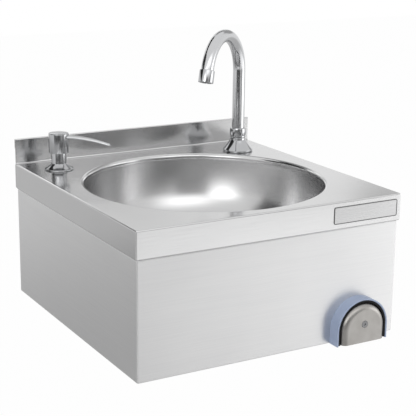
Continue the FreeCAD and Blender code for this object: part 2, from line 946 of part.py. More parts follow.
def pump_cap():
    """Ring that closes the cylinder and guides the stem."""
    low = neck_height - neck_seat_depth + cylinder_rim
    rim = neck_bore + neck_seat_width - fit_gap
    return tube(rim, stem_radius + run_gap, low, neck_height, V(pump_x, pump_y, deck_z))


def dip_tube():
    """Tube from the cylinder down to the bottle's floor."""
    top = -cylinder_drop - cylinder_floor
    low = -pump_shank_drop - bottle_height + bottle_wall + dip_floor_gap
    inner = spigot_radius + run_gap
    return tube(inner + dip_wall, inner, low, top, V(pump_x, pump_y, deck_z))


def check_ball():
    """Ball of the suction valve, loose on its seat."""
    rise = math.sqrt(check_ball_radius ** 2 - spigot_bore ** 2)
    return Part.makeSphere(check_ball_radius, V(pump_x, pump_y, deck_z - cylinder_drop + rise + fit_gap))


def piston_top():
    """Top of the piston at rest, against the cap."""
    return neck_height - neck_seat_depth + cylinder_rim - rest_gap


def pump_piston():
    """Piston with its lip, on the lower end of the stem."""
    high = piston_top()
    low = high - piston_height
    waist = cylinder_bore - run_gap - fit_gap
    outer = cylinder_bore - run_gap
    return turned([
        at(stem_bore, low),
        at(outer, low),
        at(waist, low + piston_height / 4),
        at(waist, high - piston_height / 4),
        at(outer, high),
        at(stem_bore, high),
    ], V(pump_x, pump_y, deck_z))


def pump_stem():
    """Hollow stem from the piston up into the head."""
    socket = head_recess_top() + stem_socket_depth
    return tube(stem_radius, stem_bore, piston_top(), socket, V(pump_x, pump_y, deck_z))


def head_recess_top():
    """Top of the recess that lets the head slide down over the neck."""
    return neck_height + pump_stroke + head_room


def pump_spring():
    """Spring that lifts the piston."""
    mean = cylinder_bore - run_gap - fit_gap - pump_wire
    low = -cylinder_drop
    length = piston_top() - piston_height + cylinder_drop
    base = V(pump_x, pump_y, deck_z + low)
    return coil(mean, pump_wire / 2, pump_coils, length, base, UP, "pump_spring")


def pump_head():
    """Push button of the dispenser: a cup that slides over the neck."""
    recess = neck_radius + head_slide_gap
    socket = stem_radius + fit_gap
    roof = head_recess_top()
    edge = head_radius - head_edge
    shoulder = head_top - head_crown
    dome = (edge ** 2 + head_crown ** 2) / (2 * head_crown)
    lean = math.degrees(math.asin(edge / dome))
    return turned([
        at(recess, head_bottom),
        at(head_radius, head_bottom),
        at(head_radius, shoulder - head_edge),
        at(edge, shoulder),
        arc(0, head_top - dome, dome, QUARTER_TURN - lean, QUARTER_TURN),
        at(0, roof + stem_socket_depth),
        at(socket, roof + stem_socket_depth),
        at(socket, roof),
        at(recess, roof),
    ], V(pump_x, pump_y, deck_z))


def pump_nozzle():
    """Curved beak of the dispenser, lofted from its flat oval sections."""
    root = head_radius - nozzle_sink
    span = nozzle_reach - root
    radius = (span ** 2 + nozzle_tip_drop ** 2) / (2 * nozzle_tip_drop)
    rings = []
    for share in nozzle_stations_shares:
        lean = share * math.asin(span / radius)
        out = root + radius * math.sin(lean)
        top = nozzle_top - radius * (1 - math.cos(lean))
        height = nozzle_root_height + share * (nozzle_tip_height - nozzle_root_height)
        width = nozzle_root_width + share * (nozzle_tip_width - nozzle_root_width)
        rings.append(beak_ring(out, top, height, width, lean))
    beak = Part.makeLoft(rings, True, False)
    beak = beak.cut(tube(head_radius + fit_gap, 0, head_bottom, head_top, ORIGIN))
    tip = at(nozzle_reach, nozzle_top - nozzle_tip_drop - nozzle_tip_height / 2)
    lean = math.asin(span / radius)
    along = at(math.cos(lean), -math.sin(lean))
    start = tip.sub(V(along).multiply(nozzle_outlet_depth))
    beak = beak.cut(bar(nozzle_outlet_radius, start, tip.add(V(along).multiply(overrun))))
    beak.rotate(ORIGIN, UP, pump_heading)
    beak.translate(V(pump_x, pump_y, deck_z))
    return beak


def beak_ring(out, top, height, width, lean):
    """One section of the beak: a flat oblong with round sides, square to the beak's line."""
    round_side = height / 2 * nozzle_round_share
    flat = width / 2 - round_side
    top_half = height / 2
    corners = [
        V(0, -flat, top_half),
        V(0, flat, top_half),
        (V(0, flat + round_side, 0), V(0, flat, -top_half)),
        V(0, -flat, -top_half),
        (V(0, -flat - round_side, 0), V(0, -flat, top_half)),
    ]
    ring = chain(corners)
    ring.rotate(ORIGIN, BACK, math.degrees(lean))
    ring.translate(at(out, top - top_half))
    return ring


def coil(mean, wire_radius, turns, length, base, axis, name):
    """Round-wire spring between two seats, as one tube along pairs of tangent arcs."""
    rise = length - 2 * wire_radius - 2 * fit_gap
    start_z = wire_radius + fit_gap
    count = turns * coil_pieces_per_turn
    step = 2 * math.pi / coil_pieces_per_turn
    slope = rise / (2 * math.pi * turns)

    def spot(angle):
        return V(mean * math.cos(angle), mean * math.sin(angle), start_z + slope * angle)

    def heading(angle):
        return V(-mean * math.sin(angle), mean * math.cos(angle), slope).normalize()

    edges = []
    for piece in range(count):
        first = piece * step
        edges += arc_pair(spot(first), heading(first), spot(first + step), heading(first + step))
    spring = swept(Part.Wire(edges), spot(0), heading(0), wire_radius)
    points = [spot(2 * math.pi * k / gap_samples_per_turn) for k in range(turns * gap_samples_per_turn)]
    print(name, "least gap to itself", round(least_gap(points) - 2 * wire_radius, 3))
    return place(spring, base, axis)


def arc_pair(start, leave, end, arrive):
    """Two tangent arcs from one point and direction to another."""
    across = end.sub(start)
    both = leave.add(arrive)
    spread = 2 * (1 - leave.dot(arrive))
    lean = across.dot(both)
    reach = (math.sqrt(lean ** 2 + spread * across.dot(across)) - lean) / spread
    joint = start.add(V(leave).multiply(reach)).add(end.sub(V(arrive).multiply(reach))).multiply(1 / 2)
    first = Part.Arc(start, arc_middle(start, leave, joint), joint)
    second = Part.Arc(joint, arc_middle(end, V(arrive).multiply(-1), joint), end)
    return [first.toShape(), second.toShape()]


def arc_middle(start, leave, end):
    """Middle of the arc that leaves a point in a direction and reaches another."""
    chord = end.sub(start)
    along = V(chord).normalize()
    side = leave.sub(V(along).multiply(leave.dot(along)))
    angle = math.atan2(side.Length, leave.dot(along))
    rise = chord.Length / 2 * math.tan(angle / 2)
    return start.add(V(chord).multiply(1 / 2)).add(side.normalize().multiply(rise))


def least_gap(points):
    """Least distance between points of a winding that are half a turn or more apart."""
    apart = gap_samples_per_turn // 2
    pairs = ((a, b) for a in range(len(points)) for b in range(a + apart, len(points)))
    return min(points[a].distanceToPoint(points[b]) for a, b in pairs)


def knee_surround():
    """Soft blue edging that snaps over the rim of the knee opening."""
    front = arch(arch_outer, bottom_z, arch_front_y, panel_y)
    front = soften_front(front, arch_front_y, bottom_z, arch_edge)
    web = arch(notch_radius, bottom_z, panel_y - arch_web / 2, panel_back_y + arch_web / 2)
    foot = bottom_z + casing_sheet
    flange = arch(notch_radius + arch_flange, foot, panel_back_y, arch_flange_y)
    opening = arch(arch_inner, bottom_z - overrun, arch_front_y - overrun, arch_flange_y + overrun)
    return front.fuse(web).fuse(flange).cut(opening).removeSplitter()


def knee_liner():
    """Black rubber lining between the surround and the pad."""
    foot = bottom_z + casing_sheet
    back = arch_flange_y + liner_flange_thickness
    sleeve = arch(liner_outer, foot, arch_front_y + liner_recess, back)
    flange = arch(arch_inner + liner_flange, foot, arch_flange_y, back)
    opening = arch(liner_inner, foot - overrun, arch_front_y - overrun, back + overrun)
    return sleeve.fuse(flange).cut(opening).removeSplitter()


def knee_pad():
    """Pressed steel cap of the pad: flat face, wide rounded edge, open at the foot."""
    foot = bottom_z + pad_bottom
    cap = soften_front(arch(pad_radius, foot, pad_front_y, pad_back_y), pad_front_y, foot, pad_edge)
    inner_y = pad_front_y + pad_sheet
    low = foot - overrun
    hollow = arch(pad_radius - pad_sheet, low, inner_y, pad_back_y + overrun)
    cap = cap.cut(soften_front(hollow, inner_y, low, pad_edge - pad_sheet))
    return cap.cut(screw_cone(fit_gap, pad_sheet + overrun))


def screw_cone(gap, length):
    """Countersunk head and shank, or with a gap the seat for them, in the pad's face."""
    head = screw_head_radius + gap
    shank = screw_radius + gap
    return turned([
        at(0, 0),
        at(head, 0),
        at(shank, screw_head_height),
        at(shank, length),
        at(0, length),
    ], V(knee_x, pad_front_y, valve_z), BACK)


def pad_carrier():
    """Moulded block inside the cap, hollow at the back, with a boss for the push rod."""
    foot = bottom_z + carrier_bottom
    outer = pad_radius - pad_sheet - fit_gap
    block = arch(outer, foot, carrier_front_y, carrier_back_y)
    block = soften_front(block, carrier_front_y, foot, pad_edge - pad_sheet + fit_gap)
    floor_y, mouth_y = carrier_back_y - carrier_pocket, carrier_back_y + overrun
    pocket = arch(outer - carrier_wall, foot + carrier_wall, floor_y, mouth_y)
    boss = bar(carrier_boss, V(knee_x, carrier_front_y, valve_z), V(knee_x, carrier_back_y, valve_z))
    pocket = pocket.cut(boss)
    front = V(knee_x, carrier_front_y - overrun, valve_z)
    drill = bar(screw_radius + fit_gap, front, V(knee_x, rod_front_y + overrun, valve_z))
    front = V(knee_x, rod_front_y, valve_z)
    seat = bar(rod_radius + fit_gap, front, V(knee_x, mouth_y, valve_z))
    return block.cut(pocket).cut(drill).cut(seat)


def pad_screw():
    """Countersunk screw through the cap and the carrier into the push rod."""
    base = V(knee_x, pad_front_y, valve_z)
    key = hexagon(screw_key_flats, -overrun, screw_key_depth, base, BACK)
    return screw_cone(0, screw_length).cut(key)


def push_rod():
    """Rod from the pad to the valve's poppet, with a collar for the spring."""
    collar = rod_collar_y - rod_front_y
    shoulder = poppet_y - rod_front_y
    end = shoulder + poppet_washer + poppet_height + poppet_spigot_end
    thread = screw_length - rod_front_y + pad_front_y + fit_gap
    return turned([
        at(screw_radius + fit_gap, 0),
        at(rod_radius, 0),
        at(rod_radius, collar),
        at(rod_collar_radius, collar),
        at(rod_collar_radius, collar + rod_collar_height),
        at(rod_radius, collar + rod_collar_height),
        at(rod_radius, shoulder),
        at(poppet_spigot, shoulder),
        at(poppet_spigot, end),
        at(0, end),
        at(0, thread),
        at(screw_radius + fit_gap, thread),
    ], V(knee_x, rod_front_y, valve_z), BACK)


def valve_washer():
    """Rubber disc that closes the valve's seat."""
    base = V(knee_x, poppet_y, valve_z)
    return tube(poppet_radius, poppet_spigot + fit_gap, 0, poppet_washer, base, BACK)


def valve_poppet():
    """Brass disc behind the rubber one."""
    base = V(knee_x, poppet_y + poppet_washer, valve_z)
    return tube(poppet_radius, poppet_spigot + fit_gap, 0, poppet_height, base, BACK)


def return_spring():
    """Spring that pushes the pad out again."""
    front = rod_collar_y + rod_collar_height
    base = V(knee_x, front, valve_z)
    length = seat_y - front
    return coil(return_coil_radius, return_wire / 2, return_coils, length, base, BACK, "return_spring")


def valve_bonnet():
    """Front cap of the valve, whose threaded nose goes through the bracket."""
    bore = rod_radius + run_gap
    flange = nose_length + bracket_sheet
    plug = flange + bonnet_flange
    base = V(knee_x, bracket_y - nose_length, valve_z)
    body = turned([
        at(bore, 0),
        at(nose_radius, 0),
        at(nose_radius, flange),
        at(bonnet_flange_radius, flange),
        at(bonnet_flange_radius, plug),
        at(bonnet_plug_radius - fit_gap, plug),
        at(bonnet_plug_radius - fit_gap, plug + bonnet_plug),
        at(bore, plug + bonnet_plug),
    ], base, BACK)
    groove = seal_wire + fit_gap
    return body.cut(tube(bore + 2 * groove, 0, seal_depth - groove, seal_depth + groove, base, BACK))


def rod_seal():
    """Sealing ring on the push rod."""
    base = V(knee_x, bracket_y - nose_length, valve_z)
    return o_ring(rod_radius + run_gap + seal_wire, seal_wire, seal_depth, base, BACK)


def valve_lock_nut():
    """Nut that holds the valve in its bracket."""
    base = V(knee_x, bracket_y - valve_nut_height, valve_z)
    return nut(valve_nut_flats, nose_radius + fit_gap, 0, valve_nut_height, base, BACK)


def valve_body():
    """Brass body: spring chamber with the outlet port, seat, inlet chamber and threaded inlet."""
    seat = spring_chamber
    chamber = seat + seat_wall
    rear = chamber + inlet_chamber
    shoulder = rear + inlet_wall
    base = V(knee_x, valve_front_y, valve_z)
    body = turned([
        at(0, 0),
        at(valve_radius, 0),
        at(valve_radius, shoulder),
        at(inlet_radius, shoulder),
        at(inlet_radius, shoulder + inlet_length),
        at(0, shoulder + inlet_length),
    ], base, BACK)
    body = body.fuse(bar(port_radius, V(knee_x, port_y, valve_z), V(knee_x, port_y, port_z)))
    hollow = turned([
        at(0, -overrun),
        at(bonnet_plug_radius, -overrun),
        at(bonnet_plug_radius, seat),
        at(seat_radius, seat),
        at(seat_radius, chamber),
        at(inlet_chamber_radius, chamber),
        at(inlet_chamber_radius, rear),
        at(inlet_bore, rear),
        at(inlet_bore, shoulder + inlet_length + overrun),
        at(0, shoulder + inlet_length + overrun),
    ], base, BACK)
    drill = bar(pipe_radius - pipe_wall, V(knee_x, port_y, valve_z), V(knee_x, port_y, port_z + overrun))
    return body.cut(hollow).cut(drill).removeSplitter()


def valve_bracket():
    """Folded bracket, welded to the panel above the knee opening."""
    leg_z = arch_z + notch_radius + arch_flange + bracket_above
    low = bottom_z + bracket_low
    left = knee_x - bracket_half_width
    right = knee_x + bracket_half_width
    plate = box(left, right, bracket_y, bracket_back_y, low, leg_z + bracket_sheet)
    leg = box(left, right, panel_back_y, bracket_back_y, leg_z, leg_z + bracket_sheet)
    foot = box(left, right, panel_back_y, panel_back_y + bracket_sheet, leg_z, leg_z + bracket_foot)
    bracket = plate.fuse(leg).fuse(foot).removeSplitter()
    corner = [e for e in bracket.Edges if abs(e.BoundBox.YMin - bracket_back_y) < fit_gap
              and abs(e.BoundBox.ZMin - leg_z - bracket_sheet) < fit_gap]
    bracket = bracket.makeFillet(bracket_sheet / 2, corner)
    front = V(knee_x, bracket_y - overrun, valve_z)
    return bracket.cut(bar(nose_radius + fit_gap, front, V(knee_x, valve_front_y, valve_z)))


def pipe_corners():
    """Corners of the pipe's run: up from the valve, back along the right wall, up to the spout."""
    run_z = (port_z + shank_foot_z) / 2
    run_x = casing_half - pipe_wall_gap
    return [
        V(knee_x, port_y, port_z),
        V(knee_x, port_y, run_z),
        V(run_x, port_y + pipe_slant_length, run_z),
        V(run_x, tap_y - pipe_slant_length, run_z),
        V(tap_x, tap_y, run_z),
        V(tap_x, tap_y, shank_foot_z),
    ]


def rounded(corners, radius):
    """Wire through corners, each rounded by a tangent arc."""
    points = [corners[0]]
    for before, here, after in zip(corners, corners[1:], corners[2:]):
        come = before.sub(here).normalize()
        go = after.sub(here).normalize()
        half_turn = come.getAngle(go) / 2
        reach = radius / math.tan(half_turn)
        inward = come.add(go).normalize()
        depth = radius / math.sin(half_turn) - radius
        middle = here.add(V(inward).multiply(depth))
        points.append(here.add(V(come).multiply(reach)))
        points.append((middle, here.add(V(go).multiply(reach))))
    return chain(points + [corners[-1]])


def supply_pipe():
    """Bent steel pipe from the valve's port to the spout's shank."""
    corners = pipe_corners()
    line = rounded(corners, pipe_bend)
    outer = swept(line, corners[0], UP, pipe_radius)
    return outer.cut(swept(line, corners[0], UP, pipe_radius - pipe_wall))


def union_nut(bore, base, axis):
    """Cap nut over a threaded end, with a hole for the pipe."""
    body = hexagon(union_flats, -union_grip, union_cap, base, axis)
    body = body.cut(tube(bore + fit_gap, 0, -union_grip - overrun, 0, base, axis))
    return body.cut(tube(pipe_radius + fit_gap, 0, -overrun, union_cap + overrun, base, axis))


def pipe_union_nuts():
    """The two union nuts of the pipe."""
    corners = pipe_corners()
    lower = union_nut(port_radius, corners[0], UP)
    upper = union_nut(shank_radius, corners[-1], DOWN)
    return Part.makeCompound([lower, upper])


pieces = (
    basin_top, wash_bowl, casing, badge_plate,
    waste_strainer, waste_seal, waste_washer, waste_body, waste_screw,
    spout_bell, spout_shank, spout_rings, spout_collar, spout_tube,
    aerator_housing, aerator_insert, spout_washer, spout_lock_nut,
    dispenser_rose, dispenser_shank, dispenser_washer, dispenser_nut, soap_bottle,
    pump_cylinder, pump_cap, dip_tube, check_ball, pump_piston, pump_stem, pump_spring,
    pump_head, pump_nozzle,
    knee_surround, knee_liner, knee_pad, pad_carrier, pad_screw, push_rod,
    valve_washer, valve_poppet, return_spring, valve_bonnet, rod_seal, valve_lock_nut,
    valve_body, valve_bracket, supply_pipe, pipe_union_nuts,
)

os.makedirs("parts", exist_ok=True)
for piece in pieces:
    piece().exportStep("parts/" + piece.__name__ + ".step")
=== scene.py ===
import math

import bpy
from mathutils import Matrix, Vector


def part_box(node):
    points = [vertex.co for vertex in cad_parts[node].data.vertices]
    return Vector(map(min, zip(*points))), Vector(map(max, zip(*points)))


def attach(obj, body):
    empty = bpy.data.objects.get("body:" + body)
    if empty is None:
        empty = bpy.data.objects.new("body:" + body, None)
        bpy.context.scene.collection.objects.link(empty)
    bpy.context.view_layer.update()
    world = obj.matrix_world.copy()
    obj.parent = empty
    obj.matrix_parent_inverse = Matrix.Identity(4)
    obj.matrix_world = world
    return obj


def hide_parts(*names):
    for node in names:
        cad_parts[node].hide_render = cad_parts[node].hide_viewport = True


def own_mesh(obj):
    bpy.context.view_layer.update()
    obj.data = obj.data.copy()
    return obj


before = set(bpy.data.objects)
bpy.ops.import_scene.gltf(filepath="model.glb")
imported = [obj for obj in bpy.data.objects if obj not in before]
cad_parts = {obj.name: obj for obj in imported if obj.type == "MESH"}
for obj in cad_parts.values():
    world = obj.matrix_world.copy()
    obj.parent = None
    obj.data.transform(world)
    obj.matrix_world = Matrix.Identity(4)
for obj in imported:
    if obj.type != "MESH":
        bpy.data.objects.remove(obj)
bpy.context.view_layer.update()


# Casing
# The front and both sides are one sheet of stainless steel 1 mm thick, folded round into a box
# with no floor or back. Flanges stiffen its edges, and the back ones take the wall screws.
casing_low, casing_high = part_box("casing")
casing_sheet = 0.001
casing_bend = 0.0018
casing_foot_flange = 0.012
casing_top_flange = 0.014
casing_back_flange = 0.024
fixing_edge = 0.0135
fixing_height = 0.045
fixing_radius = 0.0045
bend_segments = 5
hole_sides = 48
arch_steps = 64
touch = 0.00001
overrun = 0.003
smooth_angle = math.radians(35)
side_facing = 0.7
line_share = 0.75
grain_along = 12
grain_depth = 0.00002
quarter_turn = 0.25

pad_low, pad_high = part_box("knee_pad")
pad_radius = (pad_high.x - pad_low.x) / 2
pad_gap = 0.0029
notch_gap = 0.001
knee_x = (pad_high.x + pad_low.x) / 2
arch_z = pad_high.z - pad_radius
surround_inner = pad_radius + pad_gap
notch_radius = surround_inner + notch_gap


def only(piece):
    """Selects one piece and nothing else."""
    bpy.ops.object.select_all(action="DESELECT")
    piece.select_set(True)
    bpy.context.view_layer.objects.active = piece


def added(name):
    """Names the object that was just added, and puts its place into its mesh."""
    piece = bpy.context.object
    piece.name = piece.data.name = name
    bpy.ops.object.transform_apply(location=True, rotation=True, scale=True)
    return piece


def block(name, low, high):
    """Adds a cube between two corners, as the rough form of a piece."""
    bpy.ops.object.select_all(action="DESELECT")
    bpy.ops.mesh.primitive_cube_add(size=1, location=(low + high) / 2, scale=high - low)
    return added(name)


def rod(name, radius, start, end):
    """Adds a round bar between two points, as a cutter."""
    along = end - start
    turn = along.to_track_quat("Z", "Y").to_euler()
    bpy.ops.object.select_all(action="DESELECT")
    bpy.ops.mesh.primitive_cylinder_add(
        vertices=hole_sides, radius=radius, depth=along.length, location=(start + end) / 2, rotation=turn)
    return added(name)


def pick(piece, kind, wanted):
    """Opens a piece in edit mode with the edges or faces selected whose corners are wanted."""
    only(piece)
    bpy.ops.object.mode_set(mode="EDIT")
    bpy.ops.mesh.select_mode(type=kind)
    bpy.ops.mesh.select_all(action="DESELECT")
    bpy.ops.object.mode_set(mode="OBJECT")
    mesh = piece.data
    for part in mesh.edges if kind == "EDGE" else mesh.polygons:
        part.select = wanted([mesh.vertices[corner].co for corner in part.vertices])
    bpy.ops.object.mode_set(mode="EDIT")


def lying_at(axis, place):
    """Test for edges and faces that lie in a plane square to an axis, by its number."""
    return lambda corners: all(abs(corner[axis] - place) < touch for corner in corners)


def open_all(piece):
    """Opens a piece in edit mode with all of it selected."""
    only(piece)
    bpy.ops.object.mode_set(mode="EDIT")
    bpy.ops.mesh.select_all(action="SELECT")


def close():
    """Leaves edit mode."""
    bpy.ops.object.mode_set(mode="OBJECT")


def close_outward(merge=0):
    """Merges doubles within a distance, turns all faces outwards and leaves edit mode."""
    bpy.ops.mesh.select_all(action="SELECT")
    if merge:
        bpy.ops.mesh.remove_doubles(threshold=merge)
    bpy.ops.mesh.normals_make_consistent(inside=False)
    close()


def draw_out(x, y, z):
    """Extrudes the selected edges by a step."""
    bpy.ops.mesh.extrude_edges_move(TRANSFORM_OT_translate={"value": (x, y, z)})


def roll(angle, centre, axis, steps):
    """Sweeps the selection round an axis, by the right-hand rule."""
    bpy.ops.mesh.spin(steps=steps, angle=-angle, center=centre, axis=axis)


def shape(piece, kind, **settings):
    """Adds a modifier with its settings and applies it."""
    only(piece)
    modifier = piece.modifiers.new(kind.title(), kind)
    for key, value in settings.items():
        setattr(modifier, key, value)
    bpy.ops.object.modifier_apply(modifier=modifier.name)


def cut(piece, cutter):
    """Takes a cutter's form out of a piece."""
    shape(piece, "BOOLEAN", operation="DIFFERENCE", object=cutter, solver="EXACT")
    bpy.data.objects.remove(cutter)


def draw(name, points):
    """Draws a chain of edges: one vertex, extruded from point to point. It stays in edit mode."""
    bpy.ops.object.select_all(action="DESELECT")
    bpy.ops.mesh.primitive_plane_add(size=1)
    piece = added(name)
    bpy.ops.object.mode_set(mode="EDIT")
    bpy.ops.mesh.select_mode(type="VERT")
    bpy.ops.mesh.select_all(action="SELECT")
    bpy.ops.mesh.merge(type="CENTER")
    bpy.ops.transform.translate(value=points[0])
    for here, there in zip(points, points[1:]):
        bpy.ops.mesh.extrude_vertices_move(TRANSFORM_OT_translate={"value": there - here})
    return piece


def arch_outline(radius, foot_z, y):
    """Outline of the knee opening: a half round on two straight legs."""
    turns = [math.pi * step / arch_steps for step in range(arch_steps + 1)]
    crown = [Vector((knee_x + radius * math.cos(t), y, arch_z + radius * math.sin(t))) for t in turns]
    return [Vector((knee_x + radius, y, foot_z))] + crown + [Vector((knee_x - radius, y, foot_z))]


def arch_block(name, outline, back_y):
    """Arch drawn by its front outline and extruded towards the wall."""
    piece = draw(name, outline)
    bpy.ops.mesh.select_all(action="SELECT")
    bpy.ops.mesh.edge_face_add()
    bpy.ops.mesh.extrude_region_move(TRANSFORM_OT_translate={"value": (0, back_y - outline[0].y, 0)})
    close_outward()
    return piece


def open_tray(piece, level, flange, back_y):
    """Opens a face of a box to a flange along its front and sides, with none along the back."""
    pick(piece, "FACE", lying_at(2, level))
    bpy.ops.mesh.inset(thickness=flange)
    bpy.ops.mesh.delete(type="FACE")
    close()
    pick(piece, "FACE", lambda corners: all(
        abs(c.z - level) < touch and c.y > back_y - flange - touch for c in corners))
    bpy.ops.mesh.delete(type="FACE")
    close()


def folds(low, high, back_too=False):
    """Test for the edges of a box where its sheet is folded."""
    def wanted(corners):
        a, b = corners
        same = [axis for axis in range(3) if abs(a[axis] - b[axis]) < touch
                and min(abs(a[axis] - low[axis]), abs(a[axis] - high[axis])) < touch]
        behind = abs(a.y - high.y) < touch and abs(b.y - high.y) < touch
        upright = 0 in same and 1 in same
        return len(same) > 1 and (not behind or (back_too and upright))
    return wanted


def shade(piece):
    """Smooths a piece between its sharp edges."""
    only(piece)
    bpy.ops.object.shade_smooth_by_angle(angle=smooth_angle)


def flatten(piece):
    """Smooths the bends and keeps the large faces flat."""
    shade(piece)
    shape(piece, "WEIGHTED_NORMAL", keep_sharp=True, weight=100)


def fit(piece, material, slot, body, *nodes):
    """Gives a finished piece its material, its body and the solids that it stands for."""
    piece.data.materials.clear()
    piece.data.materials.append(material)
    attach(piece, body)
    if nodes:
        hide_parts(*nodes)


def feed(tree, socket, value):
    """Sets a socket to a number, or links another socket to it."""
    if isinstance(value, bpy.types.NodeSocket):
        tree.links.new(value, socket)
    else:
        socket.default_value = value


def reckon(tree, operation, *values):
    """Does one sum on sockets and numbers, and gives its result."""
    node = tree.nodes.new("ShaderNodeMath")
    node.operation = operation
    for socket, value in zip(node.inputs, values):
        feed(tree, socket, value)
    return node.outputs[0]


def noise(tree, place, scale, detail=2, roughness=0.5):
    """Random pattern, finer with a larger scale, and gives the socket to link on."""
    node = tree.nodes.new("ShaderNodeTexNoise")
    wanted = {"Vector": place, "Scale": scale, "Detail": detail, "Roughness": roughness}
    for name, value in wanted.items():
        feed(tree, node.inputs[name], value)
    return node.outputs["Fac"]


def new_group(name, vectors, numbers, results):
    """Node group with named sockets: its tree, what it is given and what it puts out."""
    group = bpy.data.node_groups.new(name, "ShaderNodeTree")
    for label in vectors + numbers:
        kind = "NodeSocketVector" if label in vectors else "NodeSocketFloat"
        group.interface.new_socket(label, in_out="INPUT", socket_type=kind)
    for label in results:
        group.interface.new_socket(label, in_out="OUTPUT", socket_type="NodeSocketFloat")
    return group, group.nodes.new("NodeGroupInput").outputs, group.nodes.new("NodeGroupOutput").inputs


def grain_group():
    """Fine parallel lines of a belt-ground sheet: along X, and along Y on the end faces."""
    group, given, result = new_group(
        "ground_lines", ("Place", "Facing"), ("Along", "Across"), ("Lines", "Clouds"))
    nodes, links = group.nodes, group.links
    facing = nodes.new("ShaderNodeSeparateXYZ")
    links.new(given["Facing"], facing.inputs[0])
    chosen = nodes.new("ShaderNodeMix")
    chosen.data_type = "VECTOR"
    sideways = reckon(group, "GREATER_THAN", reckon(group, "ABSOLUTE", facing.outputs["X"]), side_facing)
    links.new(sideways, chosen.inputs[0])
    for slot, names in ((4, ("Along", "Across", "Across")), (5, ("Across", "Along", "Across"))):
        stretch = nodes.new("ShaderNodeCombineXYZ")
        for axis, name in enumerate(names):
            links.new(given[name], stretch.inputs[axis])
        links.new(stretch.outputs[0], chosen.inputs[slot])
    stretched = nodes.new("ShaderNodeVectorMath")
    stretched.operation = "MULTIPLY"
    links.new(given["Place"], stretched.inputs[0])
    links.new(chosen.outputs[1], stretched.inputs[1])
    links.new(noise(group, stretched.outputs[0], scale=1, detail=3, roughness=0.65), result["Lines"])
    links.new(noise(group, given["Place"], scale=9), result["Clouds"])
    return group


def lay_pattern(tree, group, place, **values):
    """Places a pattern's group in a material, with the material's own values."""
    node = tree.nodes.new("ShaderNodeGroup")
    node.node_tree = group
    tree.links.new(place.outputs["Object"], node.inputs["Place"])
    for name, value in values.items():
        feed(tree, node.inputs[name], value)
    return node.outputs


def spread(tree, value, low, high, start=0.3, end=0.7):
    """Maps a pattern's middle range to two values, and gives the socket to link on."""
    node = tree.nodes.new("ShaderNodeMapRange")
    wanted = {"Value": value, "From Min": start, "From Max": end, "To Min": low, "To Max": high}
    for name, setting in wanted.items():
        feed(tree, node.inputs[name], setting)
    return node.outputs["Result"]


def tint(tree, value, dark, light):
    """Colour between two greys or hues, by a pattern."""
    node = tree.nodes.new("ShaderNodeMix")
    node.data_type = "RGBA"
    node.inputs[6].default_value = (*dark, 1)
    node.inputs[7].default_value = (*light, 1)
    tree.links.new(value, node.inputs[0])
    return node.outputs[2]


def relief(tree, value, depth, strength):
    """Bump from a pattern, into the shader's normal."""
    node = tree.nodes.new("ShaderNodeBump")
    node.inputs["Strength"].default_value = strength
    node.inputs["Distance"].default_value = depth
    tree.links.new(value, node.inputs["Height"])
    tree.links.new(node.outputs["Normal"], tree.nodes["Principled BSDF"].inputs["Normal"])


def new_material(name):
    """Material with one principled shader: its tree, its shader and its texture coordinates."""
    material = bpy.data.materials.new(name)
    material.use_nodes = True
    tree = material.node_tree
    return material, tree, tree.nodes["Principled BSDF"], tree.nodes.new("ShaderNodeTexCoord")


def smear(tree, shader, amount, **ways):
    """Smears reflections across the grain, which runs along the map's U or round an axis."""
    grain = tree.nodes.new("ShaderNodeTangent")
    for key, value in ways.items():
        setattr(grain, key, value)
    tree.links.new(grain.outputs[0], shader.inputs["Tangent"])
    shader.inputs["Anisotropic"].default_value = amount
    shader.inputs["Anisotropic Rotation"].default_value = quarter_turn


def lay_map(piece):
    """Lays the texture map of a folded sheet, with U level on its front and sides and along X on top."""
    open_all(piece)
    bpy.ops.uv.cube_project(cube_size=1)
    close()


def ground_steel(name, dark, light, smooth, rough, across=2200, smeared=0.75):
    """Belt-ground stainless steel: lines in its tone, its gloss and its relief, and a smeared shine."""
    material, tree, shader, place = new_material(name)
    shader.inputs["Metallic"].default_value = 1
    smear(tree, shader, smeared)
    grain = lay_pattern(
        tree, ground_lines, place, Facing=place.outputs["Normal"], Along=grain_along, Across=across)
    clouds = spread(tree, grain["Clouds"], 0, 1 - line_share, 0, 1)
    mixed = reckon(tree, "MULTIPLY_ADD", grain["Lines"], line_share, clouds)
    feed(tree, shader.inputs["Base Color"], tint(tree, spread(tree, mixed, 0, 1), dark, light))
    feed(tree, shader.inputs["Roughness"], spread(tree, mixed, rough, smooth))
    relief(tree, grain["Lines"], grain_depth, strength=0.25)
    return material


ground_lines = grain_group()
panel_steel = ground_steel(
    "panel_steel", dark=(0.69, 0.69, 0.695), light=(0.75, 0.75, 0.75), smooth=0.32, rough=0.38)

casing = block("casing_shell", casing_low, casing_high)
open_tray(casing, casing_low.z, casing_foot_flange, casing_high.y)
open_tray(casing, casing_high.z, casing_top_flange, casing_high.y)
for x in (casing_low.x + casing_back_flange, casing_high.x - casing_back_flange):
    pick(casing, "FACE", lying_at(1, casing_high.y))
    bpy.ops.mesh.bisect(plane_co=(x, 0, 0), plane_no=(1, 0, 0))
    close()
inner_x = casing_high.x - casing_back_flange + touch
pick(casing, "FACE", lambda corners: lying_at(1, casing_high.y)(corners)
     and all(abs(corner.x) < inner_x for corner in corners))
bpy.ops.mesh.delete(type="FACE")
close()
pick(casing, "EDGE", folds(casing_low, casing_high, back_too=True))
bpy.ops.mesh.bevel(offset=casing_bend, segments=bend_segments, affect="EDGES")
close()
shape(casing, "SOLIDIFY", thickness=casing_sheet, offset=-1, use_even_offset=True)
notch = arch_outline(notch_radius, casing_low.z - overrun, casing_low.y - overrun)
cut(casing, arch_block("notch_cutter", notch, casing_low.y + 2 * overrun))
